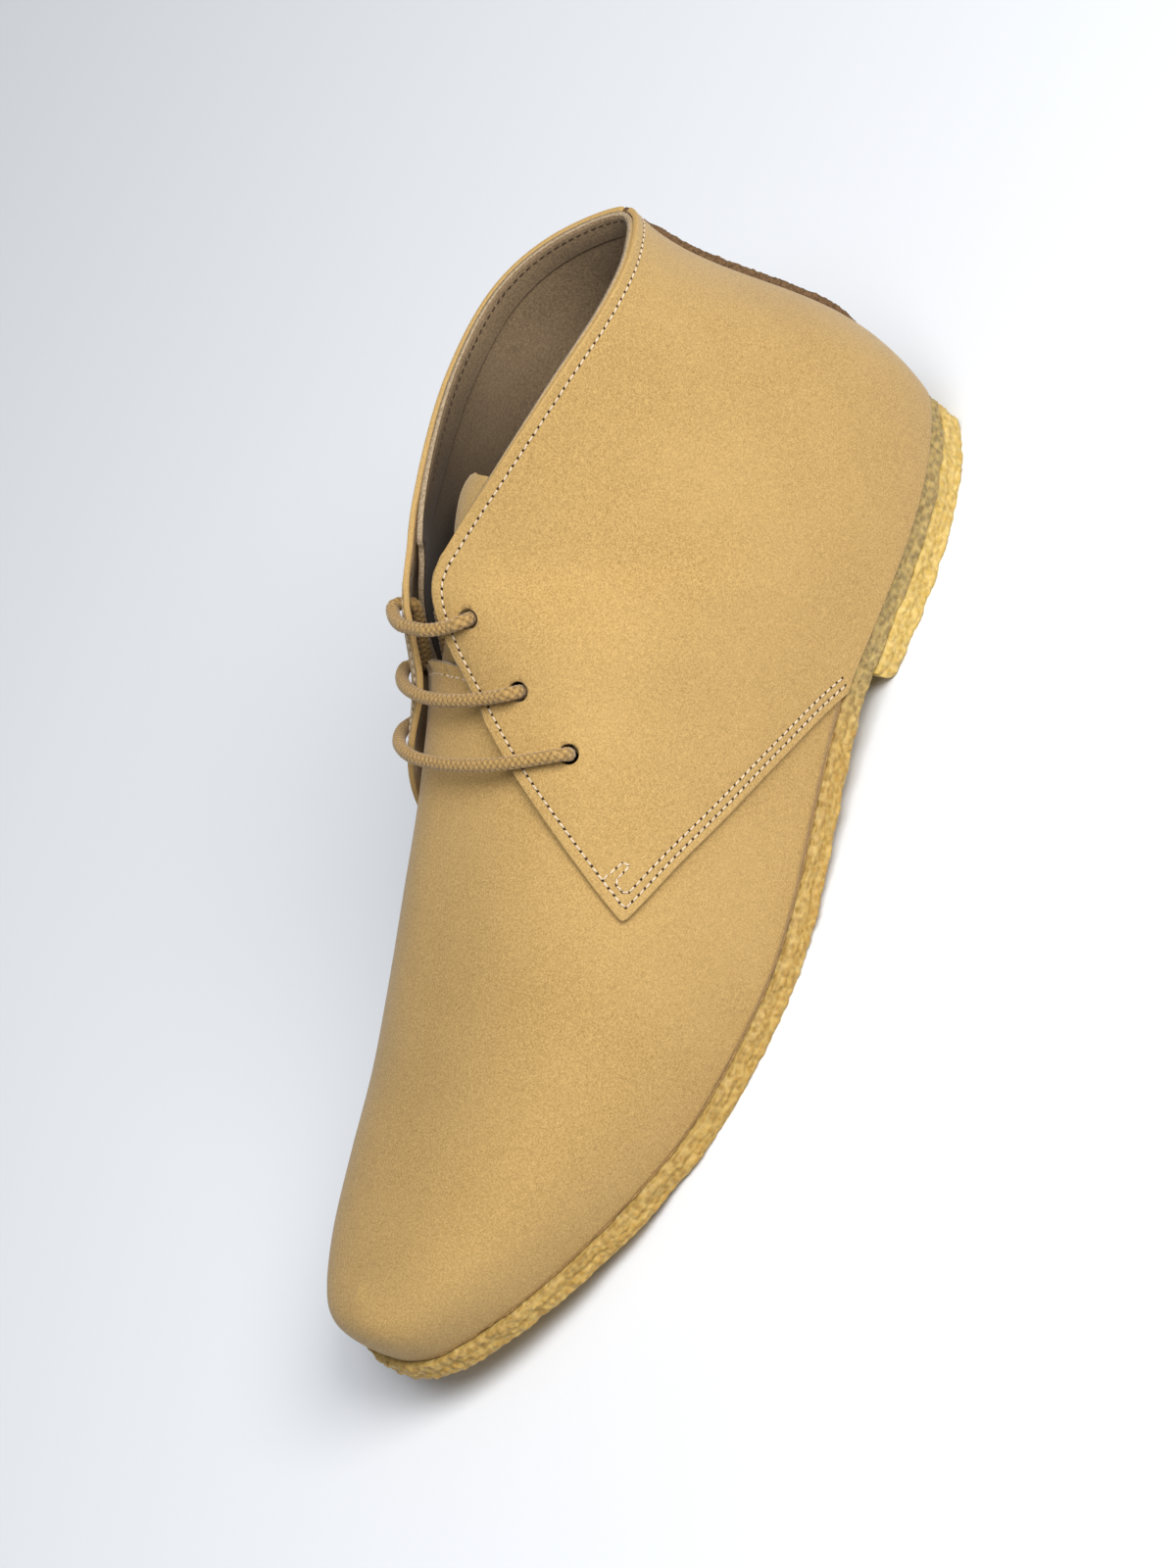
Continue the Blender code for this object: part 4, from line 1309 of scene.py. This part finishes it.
def buildTongue():
    lines = []
    for x, z, y, half, sag in tongueLine:
        x *= lastSizes["soleLength"]
        z = z * lastSizes["instepHeight"] + boardHeight(x)
        width = lastSizes["ballWidth"]
        lines.append((x, z, y * width, half * width, sag * width))
    steps, columns = tongueShape["steps"], tongueShape["columns"]

    def place(i, j):
        read = []
        for position in range(5):
            values = [line[position] for line in lines]
            ends = (2 * values[0] - values[1], 2 * values[-1] - values[-2])
            read.append(along(values, j / steps, *ends))
        x, z, y, half, sag = read
        past = min(max(1 - (1 - j / steps / (len(lines) - 1)) / tongueShape["corner"], 0.0), 1.0)
        half *= 1 - tongueShape["narrow"] * (1 - math.sqrt(1 - past * past))
        share = 2 * i / columns - 1
        return Vector((x - sag * share * share * 0.6, y + half * share, z - sag * share * share))

    form = shapedGrid(columns, (len(lines) - 1) * steps, place)
    bmesh.ops.recalc_face_normals(form, faces=form.faces)
    if sum(face.normal.z for face in form.faces) < 0:
        bmesh.ops.reverse_faces(form, faces=form.faces)
    tongue = makePiece("tongueLeather", form, [suede, lining, edges["cutEdge"]], ["tongue"])
    addWall(tongue, tongueShape["wall"], 1, 2)
    addRounding(tongue, tongueShape["rounding"])
    return settle(tongue)


buildTongue()


# raised raw edge of the back seam

seamShape = {
    "proud": 0.0018,
    "width": 0.0022,
    "steps": 150,
    "ragged": 0.00035,
    "start": 0.01,
    "length": 0.985,
    "rise": (0.16, 0.16),
    "fade": (0.985, 0.14),
    "weld": 0.00001,
    # section from the last outward: deep, across
    "section": (
        (0, -1.0), (0, 0.0), (0, 1.0), (0.5, 0.95), (0.85, 0.85),
        (1.0, 0.45), (0.93, 0.0), (1.0, -0.45), (0.85, -0.85), (0.5, -0.95),
    ),
}


def buildBackSeam():
    steps, section = seamShape["steps"], seamShape["section"]

    def place(i, j):
        share = seamShape["start"] + seamShape["length"] * i / steps
        point = lastPoint(lastRow, share, outer)
        ahead = lastPoint(lastRow, min(share + 0.01, 1.0), outer) - lastPoint(lastRow, share - 0.01, outer)
        outward = Vector((-ahead.z, 0, ahead.x)).normalized()
        if outward.x > 0:
            outward.negate()
        j = j % len(section)
        deep, across = section[j]
        (low, lowSpan), (high, highSpan) = seamShape["rise"], seamShape["fade"]
        rise = smoothStep((share - low) / lowSpan) * smoothStep((high - share) / highSpan)
        proud = lastSizes["quarterWall"] * (0.9 if share > 0.97 else 1.0) + seamShape["proud"] * rise
        rough = noise.noise(Vector((share * 160, j * 0.9, 0))) * seamShape["ragged"] * deep
        stand = lastSizes["gap"] + proud * deep + rough
        return point + outward * stand + Vector((0, across * seamShape["width"] / 2, 0))

    form = shapedGrid(steps, len(section), place)
    tidyForm(form, seamShape["weld"], True)
    return makePiece("backSeamEdge", form, [edges["rawEdge"]], ["back_seam"], sharp=70)


buildBackSeam()
print("tongue and back seam built")


# lace: one braided cord in three straight bars

laceShape = {
    "diameter": 0.0036,
    "rise": 0.0004,
    "bend": {outer: 0.0027, inner: 0.0019},
    "tail": 0.0062,
    "under": 0.0092,
    "aside": 0.0022,
    "clear": 0.0006,
    "sag": 0.16,
    "bendSteps": 5,
    "barSteps": 16,
    "calmStep": 0.0006,
    "calmRounds": 5,
    "sides": 36,
    "step": 0.00032,
    "plait": 0.0034,
    "strands": 8,
    "relief": 0.00032,
    "weld": 0.000002,
}


# quarter circle that turns from a hole's own direction into a run along the leather
def bendPoints(hole, normal, toward, start, radius):
    toward = (toward - normal * toward.dot(normal)).normalized()
    centre = hole + normal * start + toward * radius
    points = []
    steps = laceShape["bendSteps"]
    for step in range(steps + 1):
        angle = math.pi / 2 * step / steps
        points.append(centre - toward * radius * math.cos(angle) + normal * radius * math.sin(angle))
    return points


def outsideBar(number, holes, first, second):
    row, shareOut, shareIn = laceHoles[number]
    count = laceShape["barSteps"]
    middle = []
    for step in range(1, count):
        turn = first * (1 - 2 * step / count)
        side = outer if turn > 0 else inner
        share = 1 - (1 - ofSide(side, shareOut, shareIn)) * abs(turn)
        barRow = row - laceShape["sag"] * (1 - turn * turn)
        normal = lastNormal(barRow, min(share, 0.98), side)
        lift = facingLift(barRow, share) + lastSizes["gap"] + lastSizes["quarterWall"]
        lift += laceShape["diameter"] / 2 + laceShape["clear"]
        middle.append(lastPoint(barRow, min(share, 0.98), side) + normal * lift)
    start, startNormal = holes[first][number]
    end, endNormal = holes[second][number]
    leave = bendPoints(start, startNormal, middle[0] - start, laceShape["rise"], laceShape["bend"][first])
    enter = bendPoints(end, endNormal, middle[-1] - end, laceShape["rise"], laceShape["bend"][second])
    return leave + middle[1:-1] + enter[::-1]


def insideLink(first, second, radius):
    (start, startNormal), (end, endNormal) = first, second
    depth = lastSizes["quarterWall"] + laceShape["rise"]
    leave = bendPoints(start, -startNormal, end - start, depth, radius)
    enter = bendPoints(end, -endNormal, start - end, depth, radius)
    middle = [leave[-1].lerp(enter[-1], step / 4) for step in range(1, 4)]
    return leave + middle + enter[::-1]


def lacePath():
    holes = {side: holePoints(side) for side in (outer, inner)}
    start, startNormal = holes[outer][0]
    path = [start - startNormal * laceShape["tail"], start - startNormal * laceShape["tail"] / 2]
    path += outsideBar(0, holes, outer, inner)
    path += insideLink(holes[inner][0], holes[inner][1], laceShape["bend"][inner])
    path += outsideBar(1, holes, inner, outer)
    path += insideLink(holes[outer][1], holes[outer][2], laceShape["bend"][outer])
    path += outsideBar(2, holes, outer, inner)
    end, endNormal = holes[inner][2]
    depth = lastSizes["quarterWall"] + laceShape["rise"]
    path += bendPoints(end, -endNormal, holes[inner][1][0] - end, depth, laceShape["bend"][outer])
    aside = Vector((0, -laceShape["aside"], -laceShape["aside"]))
    underMiddle = holes[inner][1][0] - holes[inner][1][1] * laceShape["under"] + aside
    underTop = holes[inner][0][0] - holes[inner][0][1] * laceShape["under"] + aside
    path += [path[-1].lerp(underMiddle, 0.5) - endNormal * laceShape["diameter"] / 4, underMiddle]
    path += [underMiddle.lerp(underTop, 0.5), underMiddle.lerp(underTop, 0.9)]
    even = evenly(smoothLine(path, 6), laceShape["calmStep"])
    return evenly(averaged(even, laceShape["calmRounds"]), laceShape["step"])


# height of the braid's strands, 0 to 1, at a length along and an angle round the cord
def braidHeight(length, angle):
    turn = angle / (2 * math.pi) * laceShape["strands"] / 2
    first = length / laceShape["plait"] * 2 + turn
    second = length / laceShape["plait"] * 2 - turn
    over = (math.floor(first) + math.floor(second)) % 2 == 0
    top, across = (first, second) if over else (second, first)
    ridge = math.sin(math.pi * (top % 1.0))
    dive = math.sin(math.pi * (across % 1.0))
    return max(ridge, 0) ** 0.7 * (0.55 + 0.45 * dive)


def buildLace():
    path = lacePath()
    total = lengthsAlong(path)
    sides = laceShape["sides"]
    frames = []
    up = Vector((0, 0, 1))
    for index in range(len(path)):
        ahead = (path[min(index + 1, len(path) - 1)] - path[max(index - 1, 0)]).normalized()
        up = (up - ahead * up.dot(ahead)).normalized()
        frames.append((up.copy(), ahead.cross(up)))
    radius = laceShape["diameter"] / 2
    columns = len(path) - 1
    form = bmesh.new()
    bmesh.ops.create_grid(form, x_segments=columns, y_segments=sides, size=0.5)
    reliefs = form.verts.layers.float.new("relief")
    for vertex in form.verts:
        i, j = round((vertex.co.x + 0.5) * columns), round((vertex.co.y + 0.5) * sides)
        angle = 2 * math.pi * (j % sides) / sides
        height = braidHeight(total[i], angle)
        first, second = frames[i]
        reach = radius - laceShape["relief"] * (1 - height)
        vertex.co = path[i] + (first * math.cos(angle) + second * math.sin(angle)) * reach
        vertex[reliefs] = height
    tidyForm(form, laceShape["weld"], True)
    print("lace:", round(total[-1], 3), "m,", len(form.faces), "faces")
    return makePiece("laceBraid", form, [braid], ["lace"], sharp=80)


buildLace()


# stitches: a thread capsule for each stitch, with a dark disc of painted shade for the needle hole between


def buildStitches():
    threads = {"seamThread": bmesh.new(), "liningThread": bmesh.new()}
    holes = bmesh.new()
    for line, tree, kind in stitchLines:
        spots = evenly(line, stitchShape["pitch"])
        for first, second in zip(spots, spots[1:]):
            middle = (first + second) / 2
            spot, normal, _, _ = tree.find_nearest(middle)
            ahead = (second - first).normalized()
            normal = (normal - ahead * normal.dot(ahead)).normalized()
            across = normal.cross(ahead)
            uneven = noise.noise(middle / stitchShape["unevenness"])
            tilt = math.radians(stitchShape["slant"]) * (0.6 + uneven)
            basis = Matrix((ahead, across, normal)).transposed().to_4x4() @ Matrix.Rotation(tilt, 4, "Z")
            length, width, height = stitchShape["length"] / 2, stitchShape["width"], stitchShape["height"]
            size = Matrix.Diagonal((length, width, height, 1))
            turn = Matrix.Translation(spot - normal * stitchShape["sink"]) @ basis @ size
            bmesh.ops.create_uvsphere(threads[kind], u_segments=8, v_segments=6, radius=1, matrix=turn)
            # a near-black disc of painted shade sunk into each needle hole
            spot, normal, _, _ = tree.find_nearest(first)
            hole = stitchShape["hole"]
            flat = Matrix.Diagonal((hole * stitchShape["holeStretch"], hole, stitchShape["holeDepth"], 1))
            turn = Matrix.Translation(spot - normal * stitchShape["holeSink"]) @ basis @ flat
            bmesh.ops.create_uvsphere(holes, u_segments=8, v_segments=4, radius=1, matrix=turn)
    makePiece("seamThread", threads["seamThread"], [edges["thread"]], sharp=80)
    makePiece("liningThread", threads["liningThread"], [edges["darkThread"]], sharp=80)
    makePiece("needleHoleShades", holes, [edges["needleHoleShade"]], sharp=80)


flapRow = {"inset": 0.0022, "from": 0.20, "span": 0.55, "steps": 60}


# row of stitches that holds the flap's folded top edge
def sewFlap():
    x = upperShape["flapTop"] * lastSizes["soleLength"] + flapRow["inset"]
    line = []
    for step in range(flapRow["steps"] + 1):
        y = lastSizes["ballWidth"] * (flapRow["from"] - flapRow["span"] * step / flapRow["steps"])
        spot, _, _, _ = upperTree.ray_cast(Vector((x, y, 0.2)), Vector((0, 0, -1)))
        if spot is not None and spot.z > lastSizes["instepHeight"]:
            line.append(spot)
    stitchLines.append((line, upperTree, "seamThread"))


sewFlap()

# tape laid along the collar's inside, with its own row of dark stitches
tapeShape = {
    "firstRow": 12.15,
    "width": 0.0070,
    "wall": 0.0005,
    "rounding": 0.00015,
    "rimInset": 0.0004,
    "stitchInset": 0.0017,
    "steps": 220,
    "bands": 12,
    "unsewn": 14,
    "taperSteps": 12,
}


def buildTape():
    first, steps, bands = tapeShape["firstRow"], tapeShape["steps"], tapeShape["bands"]
    span = 2 * (lastRow - first)

    def tapePoint(i, depth):
        row, side = onRing(first + span * i / steps)
        length = (lastPoint(row, 1.0, side) - lastPoint(row, 0.9, side)).length
        share = 1 - 0.1 * depth / length
        ends = smoothStep((min(i, steps - i) - 1) / tapeShape["taperSteps"])
        swell = math.sin(math.pi * min(depth / tapeShape["width"], 1.0))
        puff = tapeShape["wall"] * ends * (0.7 + 0.5 * swell)
        stand = lastSizes["upperWall"] + puff
        return lastPoint(row, share, side) - lastNormal(row, min(share, 0.98), side) * stand

    rimInset, width = tapeShape["rimInset"], tapeShape["width"]
    form = shapedGrid(steps, bands, lambda i, j: tapePoint(i, rimInset + width * j / bands))
    form.normal_update()
    form.faces.ensure_lookup_table()
    sample = form.faces[0].calc_center_median()
    if form.faces[0].normal.dot(Vector((0.2 * lastSizes["soleLength"], 0, sample.z)) - sample) < 0:
        bmesh.ops.reverse_faces(form, faces=form.faces)
    tree = BVHTree.FromBMesh(form)
    sewn = range(tapeShape["unsewn"], steps + 1 - tapeShape["unsewn"])
    line = [tapePoint(i, tapeShape["stitchInset"]) for i in sewn]
    stitchLines.append((line, tree, "liningThread"))
    tape = makePiece("collarTape", form, [lining], sharp=50)
    addWall(tape, tapeShape["wall"], 0, 0)
    addRounding(tape, tapeShape["rounding"], 2)
    return settle(tape)


buildTape()
buildStitches()
print("stitches built")


# dark ragged line of cement between upper and sole

cementShape = {
    "radius": 0.00024,
    "out": -0.00008,
    "ragged": 0.00040,
    "waveSize": 0.003,
    "beadSize": 0.0015,
    "sides": 8,
    "stepsPerRow": 12,
    "weld": 0.00001,
}


def buildCement():
    steps = 2 * lastRow * cementShape["stepsPerRow"]
    sides = cementShape["sides"]

    def place(i, j):
        row, side = onRing((i % steps) / cementShape["stepsPerRow"])
        base, out = footPoint(row, side), outDirection(row, side)
        rough = noise.noise(base / cementShape["waveSize"]) * cementShape["ragged"]
        angle = 2 * math.pi * (j % sides) / sides
        reach = cementShape["radius"] * (1 + 0.5 * noise.noise(base / cementShape["beadSize"]))
        offset = out * (cementShape["out"] + rough + math.cos(angle) * reach)
        return base + offset + Vector((0, 0, math.sin(angle) * reach))

    form = shapedGrid(steps, sides, place)
    tidyForm(form, cementShape["weld"])
    return makePiece("cementLine", form, [edges["cement"]], sharp=80)


buildCement()

# the insole keeps its solid and gets the textile
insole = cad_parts["insole"]
insole.data.materials.clear()
insole.data.materials.append(lining)
print("pieces done")


# floor, light and camera

stageLook = {"floorSize": 6.0, "floor": (0.76, 0.775, 0.80, 1.0)}


def buildStage():
    form = bmesh.new()
    bmesh.ops.create_grid(form, x_segments=2, y_segments=2, size=stageLook["floorSize"] / 2)
    floor = addItem("floor", takeMesh("floor", form))
    material = bpy.data.materials.new("paleFloor")
    material.use_nodes = True
    shader = material.node_tree.nodes["Principled BSDF"]
    shader.inputs["Base Color"].default_value = stageLook["floor"]
    shader.inputs["Roughness"].default_value = 0.9
    floor.data.materials.append(material)


buildStage()

lightLook = {
    # name: direction to the lamp, distance, size, power in watts, colour
    "key": ((-0.42, 0.95, 0.88), 1.6, 0.8, 18.5, (1.0, 0.985, 0.96)),
    "top": ((-0.03, 0.50, 1.0), 1.7, 1.2, 21.5, (0.98, 0.985, 1.0)),
    "fill": ((0.9, 0.55, 0.5), 2.2, 1.2, 1.0, (0.97, 0.98, 1.0)),
    "world": ((0.88, 0.93, 1.0), 0.24),
}


def buildLights():
    for name in ("key", "top", "fill"):
        direction, distance, size, power, colour = lightLook[name]
        lamp = bpy.data.lights.new(name, "AREA")
        lamp.shape = "DISK"
        lamp.size = size
        lamp.energy = power
        lamp.color = colour
        item = addItem(name, lamp)
        direction = Vector(direction).normalized()
        item.location = direction * distance
        item.rotation_euler = direction.to_track_quat("Z", "Y").to_euler()
    world = bpy.data.worlds.new("studio")
    world.use_nodes = True
    colour, strength = lightLook["world"]
    world.node_tree.nodes["Background"].inputs["Color"].default_value = (*colour, 1)
    world.node_tree.nodes["Background"].inputs["Strength"].default_value = strength
    bpy.context.scene.world = world


buildLights()
bpy.context.scene.view_settings.view_transform = "Standard"

cameraLook = {
    "target": (0.140, 0.0, 0.050),
    "azimuth": 10.89,
    "elevation": 36.51,
    "roll": 57.92,
    "distance": 1.5,
    "focalPixels": 5971.0,
    "imageHeight": 1600.0,
    "sensor": 36.0,
}


def buildCamera():
    azimuth, elevation = math.radians(cameraLook["azimuth"]), math.radians(cameraLook["elevation"])
    roll = math.radians(cameraLook["roll"])
    flat = math.cos(elevation)
    back = Vector((math.sin(azimuth) * flat, math.cos(azimuth) * flat, math.sin(elevation)))
    forward = -back
    level = forward.cross(Vector((0, 0, 1))).normalized()
    down = forward.cross(level)
    right = level * math.cos(roll) + down * math.sin(roll)
    up = level * math.sin(roll) - down * math.cos(roll)
    lens = bpy.data.cameras.new("camera")
    lens.sensor_width = cameraLook["sensor"]
    lens.sensor_fit = "VERTICAL"
    lens.sensor_height = cameraLook["sensor"]
    lens.lens = cameraLook["focalPixels"] * cameraLook["sensor"] / cameraLook["imageHeight"]
    camera = addItem("camera", lens)
    turn = Matrix((right, up, back)).transposed().to_4x4()
    turn.translation = Vector(cameraLook["target"]) + shoeOrigin + back * cameraLook["distance"]
    camera.matrix_world = turn
    bpy.context.scene.camera = camera


buildCamera()
print("stage, lights and camera set")
